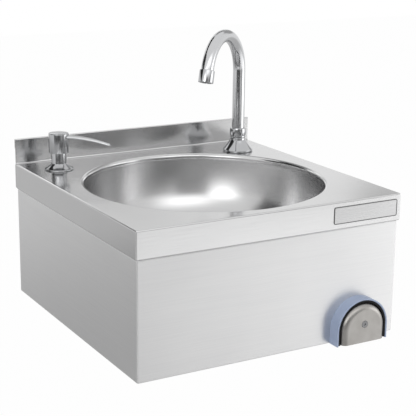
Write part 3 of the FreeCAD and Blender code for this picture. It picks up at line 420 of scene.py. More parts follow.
for x in (casing_low.x + fixing_edge, casing_high.x - fixing_edge):
    for z in (-fixing_height, fixing_height):
        cut(casing, rod("screw_cutter", fixing_radius, Vector((x, -overrun, z)), Vector((x, overrun, z))))
flatten(casing)
lay_map(casing)
fit(casing, panel_steel, "brushed_sheet", "sink", "casing")


# Top sheet
# The deck is one folded sheet of 1.2 mm stainless steel. Its front and sides turn down to a skirt
# with a return edge, its back turns up against the wall, and its opening rolls down into the bowl.
top_low, top_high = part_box("basin_top")
deck_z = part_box("spout_bell")[0].z
top_sheet = 0.0012
top_bend = 0.002
skirt_return = 0.012
hem_depth = 0.003
hem_length = 0.014
foot_radius = 0.002
bowl_low, bowl_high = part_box("wash_bowl")
bowl_y = (bowl_low.y + bowl_high.y) / 2
bowl_wall_radius = (bowl_high.x - bowl_low.x) / 2 - top_sheet
bowl_rim_z = bowl_high.z
lip_radius = 0.005
lip_steps = 6
bowl_sides = 192

deck_back = -hem_depth - foot_radius
tray_high = Vector((top_high.x, deck_back, deck_z))
top = block("top_sheet", top_low, tray_high)
pick(top, "FACE", lying_at(1, deck_back))
bpy.ops.mesh.delete(type="ONLY_FACE")
close()
open_tray(top, top_low.z, skirt_return, deck_back)
pick(top, "EDGE", folds(top_low, tray_high))
bpy.ops.mesh.bevel(offset=top_bend, segments=bend_segments, affect="EDGES")
close()
pick(top, "FACE", lying_at(2, deck_z))
bpy.ops.mesh.delete(type="ONLY_FACE")
bpy.ops.mesh.select_all(action="DESELECT")
bowl_centre = Vector((0, bowl_y, deck_z))
lip_edge = bowl_wall_radius + lip_radius
bpy.ops.mesh.primitive_circle_add(vertices=bowl_sides, radius=lip_edge, location=bowl_centre)
turns = [math.pi / 2 * step / lip_steps for step in range(1, lip_steps + 1)]
lip = [(lip_edge - lip_radius * math.sin(t), deck_z - lip_radius * (1 - math.cos(t))) for t in turns]
lip.append((bowl_wall_radius, bowl_rim_z))
radius, level = lip_edge, deck_z
for next_radius, next_level in lip:
    draw_out(0, 0, next_level - level)
    ratio = next_radius / radius
    bpy.ops.transform.resize(value=(ratio, ratio, 1), center_override=(0, bowl_y, next_level))
    radius, level = next_radius, next_level
close()
pick(top, "EDGE", lying_at(2, deck_z))
bpy.ops.mesh.fill(use_beauty=True)
close()
pick(top, "EDGE", lambda corners: lying_at(2, deck_z)(corners) and lying_at(1, deck_back)(corners))
along_wall = (1, 0, 0)
roll(math.pi / 2, (0, deck_back, deck_z + foot_radius), along_wall, bend_segments)
hem_radius = hem_depth / 2
hem_z = top_high.z - hem_radius
draw_out(0, 0, hem_z - deck_z - foot_radius)
roll(-math.pi, (0, -hem_radius, hem_z), along_wall, 2 * bend_segments)
draw_out(0, 0, hem_radius - hem_length)
close()
for side_x in (top_low.x, top_high.x):
    end_x = side_x - math.copysign(top_bend, side_x)
    pick(top, "EDGE", lambda corners: lying_at(0, end_x)(corners)
         and all(corner.y > deck_back - touch and corner.z > deck_z - touch for corner in corners))
    draw_out(side_x - end_x, 0, 0)
    close()
pick(top, "EDGE", lambda corners: lying_at(1, deck_back)(corners)
     and all(corner.z < deck_z + touch for corner in corners)
     and not lying_at(2, deck_z)(corners))
draw_out(0, -deck_back, 0)
close_outward(touch)
shape(top, "SOLIDIFY", thickness=top_sheet, offset=-1, use_even_offset=True)
flatten(top)
lay_map(top)
deck_steel = ground_steel(
    "deck_steel", dark=(0.59, 0.59, 0.595), light=(0.65, 0.65, 0.65), smooth=0.15, rough=0.19, smeared=0.6)
fit(top, deck_steel, "brushed_sheet", "sink", "basin_top")


# Wash bowl
# The bowl is deep-drawn from the same sheet and butt-welded to the rolled lip of the deck. It is
# polished in rings to a satin gloss, and its floor falls to a stepped seat for the waste.
bowl_side_radius = 0.2
bowl_side_turn = math.radians(15)
bowl_round_radius = 0.075
bowl_floor_angle = math.radians(5)
recess_radius = 0.044
recess_depth = 0.004
drain_radius = 0.026
profile_steps = 14
bowl_edge = 0.0005
edge_round = 0.0002
edge_limit = math.radians(40)
rings_per_metre = 300
fine_touch = touch / 4
upward = Vector((0, 0, 1))


def arc(radius, height, bend, start, end, steps):
    """Points along an arc of a turned outline, after its first one."""
    angles = [start + (end - start) * step / steps for step in range(1, steps + 1)]
    return [(radius + bend * math.cos(a), height + bend * math.sin(a)) for a in angles]


def lathe(name, outline, base, sides, axis=upward):
    """Turns an outline of radii and heights about an axis through a base point."""
    piece = draw(name, [Vector((radius, 0, height)) for radius, height in outline])
    bpy.ops.mesh.select_all(action="SELECT")
    roll(2 * math.pi, (0, 0, 0), upward, sides)
    close_outward(fine_touch)
    turn = axis.to_track_quat("Z", "Y").to_matrix().to_4x4()
    piece.data.transform(Matrix.Translation(base) @ turn)
    return piece


def bowl_line():
    """Inner line of the bowl from its rim to the drain hole."""
    side_r = bowl_wall_radius - bowl_side_radius
    shift = bowl_side_radius - bowl_round_radius
    round_r = side_r + shift * math.cos(bowl_side_turn)
    round_z = bowl_rim_z - shift * math.sin(bowl_side_turn)
    floor_turn = math.pi / 2 - bowl_floor_angle
    line = [(bowl_wall_radius, bowl_rim_z)]
    line += arc(side_r, bowl_rim_z, bowl_side_radius, 0, -bowl_side_turn, profile_steps)
    line += arc(round_r, round_z, bowl_round_radius, -bowl_side_turn, -floor_turn, 2 * profile_steps)
    fall = (line[-1][0] - recess_radius) * math.tan(bowl_floor_angle)
    floor_z = line[-1][1] - fall
    line.append((recess_radius, floor_z))
    line.append((recess_radius - recess_depth, floor_z - recess_depth))
    line.append((drain_radius, floor_z - recess_depth))
    return line


def soften(piece, width=edge_round, segments=2, limit=edge_limit):
    """Rounds the sharp edges of a piece."""
    shape(piece, "BEVEL", width=width, segments=segments, limit_method="ANGLE", angle_limit=limit)


def satin_steel(name, dark, light, smooth, rough, smeared, centre):
    """Steel polished in rings round an upright axis: rings in its tone and gloss."""
    material, tree, shader, place = new_material(name)
    nodes, links = tree.nodes, tree.links
    offset = nodes.new("ShaderNodeMapping")
    offset.inputs["Location"].default_value = (-centre.x, -centre.y, 0)
    links.new(place.outputs["Object"], offset.inputs["Vector"])
    parts = nodes.new("ShaderNodeSeparateXYZ")
    links.new(offset.outputs["Vector"], parts.inputs[0])
    flat = nodes.new("ShaderNodeCombineXYZ")
    links.new(parts.outputs["X"], flat.inputs["X"])
    links.new(parts.outputs["Y"], flat.inputs["Y"])
    reach = nodes.new("ShaderNodeVectorMath")
    reach.operation = "LENGTH"
    links.new(flat.outputs[0], reach.inputs[0])
    rings = nodes.new("ShaderNodeCombineXYZ")
    links.new(spread(tree, reach.outputs["Value"], 0, rings_per_metre, 0, 1), rings.inputs["X"])
    links.new(spread(tree, parts.outputs["Z"], 0, rings_per_metre, 0, 1), rings.inputs["Y"])
    links.new(reckon(tree, "ARCTAN2", parts.outputs["Y"], parts.outputs["X"]), rings.inputs["Z"])
    streaks = noise(tree, rings.outputs[0], scale=1, detail=1)
    shader.inputs["Metallic"].default_value = 1
    smear(tree, shader, smeared, direction_type="RADIAL", axis="Z")
    feed(tree, shader.inputs["Base Color"], tint(tree, spread(tree, streaks, 0, 1), dark, light))
    feed(tree, shader.inputs["Roughness"], spread(tree, streaks, rough, smooth))
    return material


bowl = lathe("bowl_pressing", bowl_line(), Vector((0, bowl_y, 0)), bowl_sides)
open_all(bowl)
bpy.ops.mesh.normals_make_consistent(inside=True)
close()
shape(bowl, "SOLIDIFY", thickness=top_sheet, offset=-1, use_even_offset=True)
soften(bowl, bowl_edge, segments=3)
shade(bowl)
bowl_steel = satin_steel(
    "bowl_steel", dark=(0.565, 0.565, 0.57), light=(0.58, 0.58, 0.58), smooth=0.24, rough=0.25,
    smeared=0.2, centre=Vector((0, bowl_y, 0)))
fit(bowl, bowl_steel, "satin_bowl", "sink", "wash_bowl")


# Badge plate
# A thin plate of brushed steel with round corners and a raised rim, stuck on the skirt at the right
# of the front. Its field is bare, and its rim is darkened as a painted shadow round the plate.
badge_low, badge_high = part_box("badge_plate")
badge_corner = 0.0025
badge_border = 0.0012
badge_field_depth = 0.0003
corner_segments = 6


def rounded_plate(name, low, high, corner):
    """Plate in front of the skirt with its four corners rounded."""
    piece = block(name, low, high)
    pick(piece, "EDGE", lambda corners: all(
        abs(corners[0][axis] - corners[1][axis]) < touch for axis in (0, 2)))
    bpy.ops.mesh.bevel(offset=corner, segments=corner_segments, affect="EDGES")
    close()
    return piece


step_in = Vector((badge_border / 2, 0, badge_border / 2))
field_low = badge_low + step_in + Vector((0, badge_field_depth, 0))
badge = rounded_plate("badge_field", field_low, badge_high - step_in, badge_corner - badge_border / 2)
soften(badge)
flatten(badge)
lay_map(badge)
badge_steel = ground_steel(
    "badge_steel", dark=(0.54, 0.54, 0.545), light=(0.62, 0.62, 0.62), smooth=0.25, rough=0.32, across=1800)
fit(badge, badge_steel, "badge_steel", "sink", "badge_plate")

rim = rounded_plate("badge_rim", badge_low, badge_high, badge_corner)
pick(rim, "FACE", lambda corners: lying_at(1, badge_low.y)(corners) or lying_at(1, badge_high.y)(corners))
bpy.ops.mesh.inset(thickness=badge_border)
bpy.ops.mesh.bridge_edge_loops()
close()
soften(rim)
flatten(rim)
lay_map(rim)
# The rim's steel is darkened to a painted shadow along the edge of the plate.
rim_painted_shadow = ground_steel(
    "rim_painted_shadow", dark=(0.13, 0.13, 0.135), light=(0.2, 0.2, 0.2), smooth=0.3, rough=0.38, across=1800)
fit(rim, rim_painted_shadow, "badge_steel", "sink")


# Spout rose and collar
# The rose is a spun brass bell that covers the hole in the deck, with the grooved ring of the socket
# above it, and the collar is a turned barrel in which the spout swivels. Both are polished and chromed.
# Their chrome has a darker tone than the spout's, as painted shade.
bell_low, bell_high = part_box("spout_bell")
tap = Vector(((bell_low.x + bell_high.x) / 2, (bell_low.y + bell_high.y) / 2, deck_z))
bell_radius = (bell_high.x - bell_low.x) / 2
bell_height = bell_high.z - bell_low.z
bell_rim = 0.003
bell_undercut = 0.0012
bell_top_radius = 0.0122
bell_flare_radius = 0.07
collar_low, collar_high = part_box("spout_collar")
collar_radius = (collar_high.x - collar_low.x) / 2
collar_crown = 0.0006
collar_round = 0.0004
barrel_steps = 8
flare_steps = 12
groove_steps = 6
ring_radius = 0.0116
ring_groove = 0.0005
tube_radius = 0.0095
bell_bore = tube_radius + edge_round
fine_sides = 128
turned_limit = math.radians(25)
mark_scale = 140
mark_shade = 0.96


def turned(name, outline, base, axis=upward, round_edge=edge_round):
    """Turned metal piece with slightly rounded edges, smooth between them."""
    piece = lathe(name, outline, base, fine_sides, axis)
    soften(piece, round_edge, segments=3, limit=turned_limit)
    shade(piece)
    return piece


def flare(low, high, bend):
    """Hollow curve of a flared rose from its rim up to its neck."""
    start, end = Vector(low), Vector(high)
    chord = end - start
    across = Vector((-chord.y, chord.x)).normalized()
    sag = bend - math.sqrt(bend ** 2 - chord.length ** 2 / 4)
    shares = [step / flare_steps for step in range(1, flare_steps + 1)]
    return [tuple(start + chord * s + across * 4 * sag * s * (1 - s)) for s in shares]


def skin_group():
    """Uneven skin of a metal or moulded piece: a fine pattern, and broad clouds."""
    group, given, result = new_group(
        "uneven_skin", ("Place",), ("Fine", "Detail", "Broad"), ("Skin", "Clouds"))
    group.links.new(noise(group, given["Place"], given["Fine"], given["Detail"]), result["Skin"])
    group.links.new(noise(group, given["Place"], given["Broad"]), result["Clouds"])
    return group


def polished_metal(name, tone, smooth, rough, smeared=0):
    """Polished or plated metal with faint water marks. Turned pieces smear their shine upright."""
    material, tree, shader, place = new_material(name)
    shader.inputs["Metallic"].default_value = 1
    marks = lay_pattern(tree, uneven_skin, place, Fine=mark_scale, Detail=4)["Skin"]
    dark = tuple(mark_shade * part for part in tone)
    feed(tree, shader.inputs["Base Color"], tint(tree, marks, dark, tone))
    feed(tree, shader.inputs["Roughness"], spread(tree, marks, smooth, rough))
    if smeared:
        smear(tree, shader, smeared, direction_type="RADIAL", axis="Z")
    return material


uneven_skin = skin_group()
# Chrome of the turned pieces. Its tone is darker than the spout's chrome, as painted shade. Its smoother
# gloss and upright smear are its turned polish.
turned_chrome_painted_shade = polished_metal("turned_chrome_painted_shade", (0.48, 0.485, 0.495), smooth=0.08, rough=0.11, smeared=0.3)
collar_foot = collar_low.z - deck_z
collar_top = collar_high.z - deck_z
groove_z = (bell_height + collar_foot) / 2
bell = turned("rose_bell", [
    (bell_bore, 0),
    (bell_radius - bell_undercut, 0),
    (bell_radius, bell_undercut),
    (bell_radius, bell_rim),
    *flare((bell_radius, bell_rim), (bell_top_radius, bell_height), bell_flare_radius),
    (ring_radius, bell_height),
    (ring_radius, groove_z - ring_groove),
    *arc(ring_radius, groove_z, ring_groove, -math.pi / 2, -3 * math.pi / 2, groove_steps),
    (ring_radius, collar_foot),
    (bell_bore, collar_foot),
    (bell_bore, 0),
], tap)
fit(bell, turned_chrome_painted_shade, "chrome", "sink", "spout_bell")

collar_edge = collar_radius - collar_crown
collar_height = collar_top - collar_foot
shares = [step / barrel_steps for step in range(barrel_steps + 1)]
barrel = [(collar_edge + collar_crown * math.sin(math.pi * share), collar_foot + collar_height * share)
          for share in shares]
collar = turned("swivel_collar", [
    (bell_bore, collar_foot),
    *barrel,
    (bell_bore, collar_top),
    (bell_bore, collar_foot),
], tap, round_edge=collar_round)
fit(collar, turned_chrome_painted_shade, "chrome", "sink", "spout_collar")


# Spout
# A gooseneck of chromed brass tube, bent in one arc on a straight riser. It turns in the collar,
# and a threaded sleeve on its end holds the aerator.
tube_low, tube_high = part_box("spout_tube")
tube_wall = 0.001
bend_radius = 0.0585
bend_turn = math.radians(163.5)
bend_steps = 72
aerator_overlap = 0.013
tube_tail = 0.002
aerator_radius = 0.0112
aerator_lip = 0.0055
aerator_mouth = 0.0082
aerator_chamfer = 0.0006

insert_low, insert_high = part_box("aerator_insert")
reach = (insert_low + insert_high) / 2 - tap
outward = Vector((reach.x, reach.y, 0)).normalized()
bend_z = tube_high.z - bend_radius - tube_radius
bend_centre = Vector((tap.x, tap.y, bend_z)) + outward * bend_radius
outlet_way = outward * math.sin(bend_turn) + upward * math.cos(bend_turn)
bend_arm = upward * math.sin(bend_turn) - outward * math.cos(bend_turn)
bend_end = bend_centre + bend_arm * bend_radius

bpy.ops.object.select_all(action="DESELECT")
bpy.ops.mesh.primitive_circle_add(
    vertices=fine_sides, radius=tube_radius, location=(tap.x, tap.y, tube_low.z))
gooseneck = added("gooseneck")
open_all(gooseneck)
draw_out(0, 0, bend_z - tube_low.z)
roll(bend_turn, bend_centre, upward.cross(outward), bend_steps)
draw_out(*(outlet_way * (tube_tail + aerator_overlap)))
close_outward(fine_touch)
shape(gooseneck, "SOLIDIFY", thickness=tube_wall, offset=-1)
shade(gooseneck)
chrome = polished_metal("chrome", (0.6, 0.605, 0.615), smooth=0.14, rough=0.18)
fit(gooseneck, chrome, "chrome", "spout", "spout_tube")

aerator_end = aerator_overlap + aerator_lip
aerator = turned("aerator_sleeve", [
    (tube_radius, 0),
    (aerator_radius - aerator_chamfer, 0),
    (aerator_radius, aerator_chamfer),
    (aerator_radius, aerator_end - aerator_chamfer),
    (aerator_radius - aerator_chamfer, aerator_end),
    (aerator_mouth, aerator_end),
    (aerator_mouth, aerator_end - 2 * aerator_chamfer),
    (tube_radius, aerator_overlap),
    (tube_radius, 0),
], bend_end + outlet_way * tube_tail, outlet_way)
# The sleeve takes the turned chrome, with its darker tone of painted shade.
fit(aerator, turned_chrome_painted_shade, "chrome", "spout", "aerator_housing")


# Soap dispenser
# A flared rose with a neck stands on the deck, and a round button slides over the neck and turns
# with its beak. All three are chromed, the rose and the button turned and the beak cast. The chrome
# of the rose and the button has a darker tone than the beak's, as painted shade.
rose_low, rose_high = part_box("dispenser_rose")
pump = Vector(((rose_low.x + rose_high.x) / 2, (rose_low.y + rose_high.y) / 2, deck_z))
rose_radius = (rose_high.x - rose_low.x) / 2
rose_rim = 0.002
rose_height = 0.009
rose_flare_radius = 0.016
neck_radius = 0.011
neck_bore = 0.009
neck_height = rose_high.z - deck_z
button_low, button_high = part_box("pump_head")
button_radius = (button_high.x - button_low.x) / 2
button_crown = 0.0012
button_edge = 0.0008
button_bore = 0.0114
rim_steps = 8
edge_steps = 4
dome_steps = 10

# Chrome of the rose and the button. Its tone is darker than the beak's chrome, as painted shade. Its smeared
# shine is its satin polish.
satin_chrome_painted_shade = polished_metal("satin_chrome_painted_shade", (0.45, 0.455, 0.465), smooth=0.14, rough=0.18, smeared=0.75)
rose_edge = rose_radius - rose_rim / 2
rose = turned("dispenser_base", [
    (neck_bore, 0),
    (rose_edge, 0),
    *arc(rose_edge, rose_rim / 2, rose_rim / 2, -math.pi / 2, math.pi / 2, rim_steps),
    *flare((rose_edge, rose_rim), (neck_radius, rose_height), rose_flare_radius),
    (neck_radius, neck_height),
    (neck_bore, neck_height),
    (neck_bore, 0),
], pump)
fit(rose, satin_chrome_painted_shade, "chrome", "sink", "dispenser_rose")

button_foot = button_low.z - deck_z
button_top = button_high.z - deck_z
shoulder = button_top - button_crown
crown_edge = button_radius - button_edge
dome = (crown_edge ** 2 + button_crown ** 2) / (2 * button_crown)
lean = math.asin(crown_edge / dome)
button = turned("dispenser_button", [
    (button_bore, button_foot + neck_height / 2),
    (button_bore, button_foot),
    (button_radius, button_foot),
    (button_radius, shoulder - button_edge),
    *arc(crown_edge, shoulder - button_edge, button_edge, 0, math.pi / 2 - lean, edge_steps),
    *arc(0, button_top - dome, dome, math.pi / 2 - lean, math.pi / 2, dome_steps),
], pump)
fit(button, satin_chrome_painted_shade, "chrome", "soap_head", "pump_head")


# Beak of the dispenser
# A slim beak of cast and chromed metal, flat oval in section, let into the side of the button.
# It tapers and droops from there to its small outlet, and moves and turns with the button.
beak_top = 0.0506
beak_reach = 0.077
beak_drop = 0.0095
beak_root = (0.010, 0.006)
beak_tip = (0.006, 0.0042)
beak_stations = 16
beak_sides = 32
beak_inset = 0.0012
beak_limit = math.radians(50)
outlet_rim = 0.0006
outlet_depth = 0.004
outlet_rise = 0.0004
nozzle_low, nozzle_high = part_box("pump_nozzle")
far = (nozzle_low + nozzle_high) / 2 - pump
heading = math.atan2(far.y, far.x)

beak_start = button_radius - beak_inset
span = beak_reach - beak_start
droop = (span ** 2 + beak_drop ** 2) / (2 * beak_drop)
bpy.ops.object.select_all(action="DESELECT")
bpy.ops.mesh.primitive_circle_add(
    vertices=beak_sides, radius=0.5, location=(beak_start, 0, beak_top - beak_root[1] / 2),
    rotation=(0, math.pi / 2, 0))
bpy.context.object.scale = (beak_root[1], beak_root[0], 1)
beak = added("dispenser_beak")
open_all(beak)
x, z, width, height = beak_start, beak_top - beak_root[1] / 2, *beak_root
for station in range(1, beak_stations + 1):
    share = station / beak_stations
    next_x = beak_start + span * share
    next_width = beak_root[0] + (beak_tip[0] - beak_root[0]) * share
    next_height = beak_root[1] + (beak_tip[1] - beak_root[1]) * share
    top_line = beak_top - droop + math.sqrt(droop ** 2 - (span * share) ** 2)
    next_z = top_line - next_height / 2
    draw_out(next_x - x, 0, next_z - z)
    bpy.ops.transform.resize(value=(1, next_width / width, next_height / height),
                             center_override=(next_x, 0, next_z))
    x, z, width, height = next_x, next_z, next_width, next_height
bpy.ops.mesh.edge_face_add()
bpy.ops.mesh.inset(thickness=outlet_rim)
bpy.ops.mesh.extrude_region_move(TRANSFORM_OT_translate={"value": (-outlet_depth, 0, outlet_rise)})
close_outward()
beak.data.transform(Matrix.Translation(pump) @ Matrix.Rotation(heading, 4, "Z"))
soften(beak, limit=beak_limit)
shade(beak)
fit(beak, chrome, "chrome", "soap_head", "pump_nozzle")


# Knee surround
# A soft blue plastic moulding, pushed over the rim of the opening, so that a knee meets no sheet edge.
# The black rubber lining inside it ends in a lip that laps the moulding's front edge.
surround_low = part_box("knee_surround")[0]
surround_wall = 0.0035
surround_outer = surround_inner + surround_wall
liner_lap = 0.001
lip_setback = 0.001
lip_gap = 0.0009
lip_depth = 0.006
edging_segments = 6
moulded_clouds = 35


def hollow_outline(outer, inner, foot_z, y):
    """Outline of a hollow arch: up round its outside and back round its inside."""
    return arch_outline(outer, foot_z, y) + arch_outline(inner, foot_z, y)[::-1]


def soft_plastic(name, dark, light, smooth, rough, grain, depth, gloss=0.5):
    """Moulded plastic or rubber: a fine pebbled skin, a little uneven in tone and gloss."""
    material, tree, shader, place = new_material(name)
    shader.inputs["Specular IOR Level"].default_value = gloss
    skin = lay_pattern(tree, uneven_skin, place, Fine=grain, Detail=3, Broad=moulded_clouds)
    feed(tree, shader.inputs["Base Color"], tint(tree, spread(tree, skin["Clouds"], 0, 1), dark, light))
    feed(tree, shader.inputs["Roughness"], spread(tree, skin["Clouds"], smooth, rough))
    relief(tree, skin["Skin"], depth, strength=0.3)
    return material


blue_edging = soft_plastic(
    "blue_edging", dark=(0.33, 0.4, 0.56), light=(0.4, 0.47, 0.62), smooth=0.42, rough=0.55,
    grain=1800, depth=0.0001)
edging = hollow_outline(surround_outer, surround_inner + liner_lap, surround_low.z, surround_low.y)
surround = arch_block("knee_edging", edging, casing_low.y)
pick(surround, "EDGE", lambda corners: lying_at(1, surround_low.y)(corners)
     and any(corner.z > surround_low.z + touch for corner in corners))
bpy.ops.mesh.bevel(
    offset=(surround_wall - liner_lap) / 2 - touch, segments=edging_segments, affect="EDGES")
close()
flatten(surround)
fit(surround, blue_edging, "blue_edging", "sink", "knee_surround")

black_rubber = soft_plastic(
    "black_rubber", dark=(0.008, 0.008, 0.009), light=(0.013, 0.013, 0.014), smooth=0.55, rough=0.7,
    grain=1500, depth=0.0001, gloss=0.15)
lip_front = surround_low.y + lip_setback
lip_line = hollow_outline(
    surround_inner + liner_lap - touch, pad_radius + lip_gap, surround_low.z + lip_setback, lip_front)
lining = arch_block("liner_lip", lip_line, lip_front + lip_depth)
soften(lining)
flatten(lining)
fit(lining, black_rubber, "black_rubber", "sink")


# Knee pad
# A pressed cap of fine-blasted stainless steel with a wide round edge, open at its foot. It covers
# a plastic block, and one countersunk screw holds both to the push rod.
pad_sheet = 0.0015
pad_edge = 0.009
screw_low, screw_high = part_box("pad_screw")
screw_z = (screw_low.z + screw_high.z) / 2
screw_head = (screw_high.x - screw_low.x) / 2
seat_room = 0.0005
seat_radius = screw_head + seat_room
seat_rim = 0.0002
seat_depth = 0.0013
pad_edge_segments = 10
blasted_grit = 2600
blasted_clouds = 60
blasted_depth = 0.00006
to_wall = Vector((0, 1, 0))


def blasted_metal(name, dark, light, smooth, rough):
    """Metal blasted to a fine matt."""
    material, tree, shader, place = new_material(name)
    shader.inputs["Metallic"].default_value = 1
    skin = lay_pattern(tree, uneven_skin, place, Fine=blasted_grit, Detail=2, Broad=blasted_clouds)
    feed(tree, shader.inputs["Base Color"], tint(tree, spread(tree, skin["Clouds"], 0, 1), dark, light))
    feed(tree, shader.inputs["Roughness"], spread(tree, skin["Skin"], smooth, rough))
    relief(tree, skin["Skin"], blasted_depth, strength=0.3)
    return material


pad_steel = blasted_metal(
    "pad_steel", dark=(0.33, 0.318, 0.303), light=(0.375, 0.363, 0.348), smooth=0.3, rough=0.4)
pad = arch_block("knee_cap", arch_outline(pad_radius, pad_low.z, pad_low.y), pad_high.y)
pick(pad, "EDGE", lambda corners: lying_at(1, pad_low.y)(corners)
     and any(corner.z > pad_low.z + touch for corner in corners))
bpy.ops.mesh.bevel(offset=pad_edge, segments=pad_edge_segments, affect="EDGES")
close()
pick(pad, "FACE", lambda corners: lying_at(1, pad_high.y)(corners) or lying_at(2, pad_low.z)(corners))
bpy.ops.mesh.delete(type="FACE")
close()
shape(pad, "SOLIDIFY", thickness=pad_sheet, offset=-1, use_even_offset=True)
cut(pad, lathe("seat_cutter", [
    (0, -overrun),
    (seat_radius, -overrun),
    (seat_radius, seat_rim),
    (screw_head / 2, seat_depth),
    (screw_head / 2, overrun),
    (0, overrun),
], Vector((knee_x, pad_low.y, screw_z)), hole_sides, to_wall))
flatten(pad)
fit(pad, pad_steel, "pad_steel", "knee_push", "knee_pad")


# Pieces that stay as the solids have them
# What lies inside the casing and under the bowl keeps its own form: turned brass, bent steel,
# moulded plastic and rubber, each with its own finish. The pad's screw is darkened as painted shade
# of its seat.
dull_chrome = polished_metal("dull_chrome", (0.62, 0.62, 0.63), smooth=0.18, rough=0.3)
# The pad screw's steel is darkened as painted shade, for the shadow of its seat round the head.
screw_painted_shade = polished_metal("screw_painted_shade", (0.2, 0.2, 0.205), smooth=0.2, rough=0.3)
brass = blasted_metal("brass", dark=(0.62, 0.42, 0.17), light=(0.72, 0.52, 0.24), smooth=0.24, rough=0.38)
black_plastic = soft_plastic(
    "black_plastic", dark=(0.02, 0.02, 0.022), light=(0.03, 0.03, 0.032), smooth=0.35, rough=0.5,
    grain=900, depth=0.00005)
grey_plastic = soft_plastic(
    "grey_plastic", dark=(0.36, 0.37, 0.38), light=(0.42, 0.43, 0.44), smooth=0.35, rough=0.5,
    grain=900, depth=0.00005)
milky_plastic = soft_plastic(
    "milky_plastic", dark=(0.7, 0.72, 0.73), light=(0.8, 0.82, 0.82), smooth=0.3, rough=0.42,
    grain=500, depth=0.00005)
finishes = {
    dull_chrome: ("waste_strainer", "waste_screw", "push_rod", "check_ball", "supply_pipe", "valve_bracket"),
    screw_painted_shade: ("pad_screw",),
    brass: ("spout_shank", "spout_lock_nut", "valve_body", "valve_bonnet", "valve_lock_nut", "valve_poppet",
            "pipe_union_nuts"),
    black_rubber: ("waste_seal", "waste_washer", "spout_rings", "spout_washer", "dispenser_washer",
                   "knee_liner", "rod_seal", "valve_washer"),
    black_plastic: ("pad_carrier", "dispenser_shank", "dispenser_nut"),
    grey_plastic: ("waste_body", "aerator_insert"),
    milky_plastic: ("soap_bottle", "pump_cylinder", "pump_cap", "dip_tube", "pump_piston", "pump_stem"),
}
for material, names in finishes.items():
    for name in names:
        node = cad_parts[name]
        for slot in node.material_slots:
            slot.material = material


# Springs
# Two compression springs of round steel wire: one shuts the knee valve and pushes the pad out again,
# and one lifts the piston of the soap pump. Each rests on a fixed seat.
spring_turns = 6
wire_sides = 12
turn_steps = 32
valve_wire = 0.0014
piston_wire = 0.0012


def spring(name, node, wire, axis, anchor_high):
    """Wire ring swept up a screw line between the ends of its solid."""
    low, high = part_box(node)
    middle = (low + high) / 2
    length = (high - low).dot(axis)
    across = (high - low).x / 2
    start, end = middle - axis * length / 2, middle + axis * length / 2
    bpy.ops.object.select_all(action="DESELECT")
    bpy.ops.mesh.primitive_circle_add(
        vertices=wire_sides, radius=wire / 2, location=(across - wire / 2, 0, wire / 2),
        rotation=(math.pi / 2, 0, 0))
    piece = added(name)
    shape(piece, "SCREW", screw_offset=(length - wire) / spring_turns, iterations=spring_turns,
          steps=turn_steps, render_steps=turn_steps)
    open_all(piece)
    bpy.ops.mesh.fill_holes(sides=wire_sides)
    close_outward()
    piece.data.transform(Matrix.Translation(start) @ axis.to_track_quat("Z", "Y").to_matrix().to_4x4())
    shade(piece)
    fit(piece, dull_chrome, "plain_steel", "sink", node)
    anchor = end if anchor_high else start
    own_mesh(piece)
    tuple(anchor)


spring("valve_spring", "return_spring", valve_wire, to_wall, True)
spring("piston_spring", "pump_spring", piston_wire, upward, False)


# Studio
# The sink hangs in the air above a pale floor, as it hangs on a wall, in soft light from in front.
# Large cards out of the picture give the steel and the chrome something to mirror.
floor_z = -0.45
floor_size = 12
floor_grey = 0.85
floor_glow = 0.98
ambient = 0.55
half_card = 0.5


def seen_rays(tree, share):
    """A share for rays from the camera and those that metal and glass send on, and none for light."""
    path = tree.nodes.new("ShaderNodeLightPath").outputs
    mirrored = reckon(tree, "MAXIMUM", path["Is Camera Ray"], path["Is Glossy Ray"])
    return reckon(tree, "MULTIPLY", reckon(tree, "MAXIMUM", mirrored, path["Is Transmission Ray"]), share)


def glowing(name, under, grey, tone, cover):
    """Paint that glows, as far as its cover goes, over a plain shader."""
    paint = bpy.data.materials.new(name)
    paint.use_nodes = True
    tree = paint.node_tree
    nodes, links = tree.nodes, tree.links
    nodes.clear()
    base = nodes.new(under)
    base.inputs["Color"].default_value = (grey, grey, grey, 1)
    glow = nodes.new("ShaderNodeEmission")
    glow.inputs["Color"].default_value = (1, 1, 1, 1)
    glow.inputs["Strength"].default_value = tone
    mix = nodes.new("ShaderNodeMixShader")
    for socket, value in zip(mix.inputs, (cover(tree), base.outputs[0], glow.outputs[0])):
        links.new(value, socket)
    links.new(mix.outputs[0], nodes.new("ShaderNodeOutputMaterial").inputs["Surface"])
    return paint


bpy.ops.object.select_all(action="DESELECT")
bpy.ops.mesh.primitive_plane_add(size=floor_size, location=(0, 0, floor_z))
floor = added("studio_floor")
floor.data.materials.append(glowing(
    "pale_floor", "ShaderNodeBsdfDiffuse", floor_grey, 1, lambda tree: seen_rays(tree, floor_glow)))

world = bpy.data.worlds.new("studio_world")
world.use_nodes = True
bpy.context.scene.world = world
backdrop = world.node_tree.nodes["Background"]
backdrop.inputs["Color"].default_value = (1, 1, 1, 1)
brightness = reckon(world.node_tree, "ADD", seen_rays(world.node_tree, 1 - ambient), ambient)
feed(world.node_tree, backdrop.inputs["Strength"], brightness)


def soft_box(name, place, aim, width, height, watts):
    """Large soft lamp that looks at a point."""
    lamp = bpy.data.lights.new(name, "AREA")
    lamp.shape = "RECTANGLE"
    lamp.size, lamp.size_y, lamp.energy = width, height, watts
    holder = bpy.data.objects.new(name, lamp)
    bpy.context.scene.collection.objects.link(holder)
    holder.location = place
    holder.rotation_euler = (Vector(aim) - Vector(place)).to_track_quat("-Z", "Y").to_euler()
    holder.visible_camera = holder.visible_glossy = False


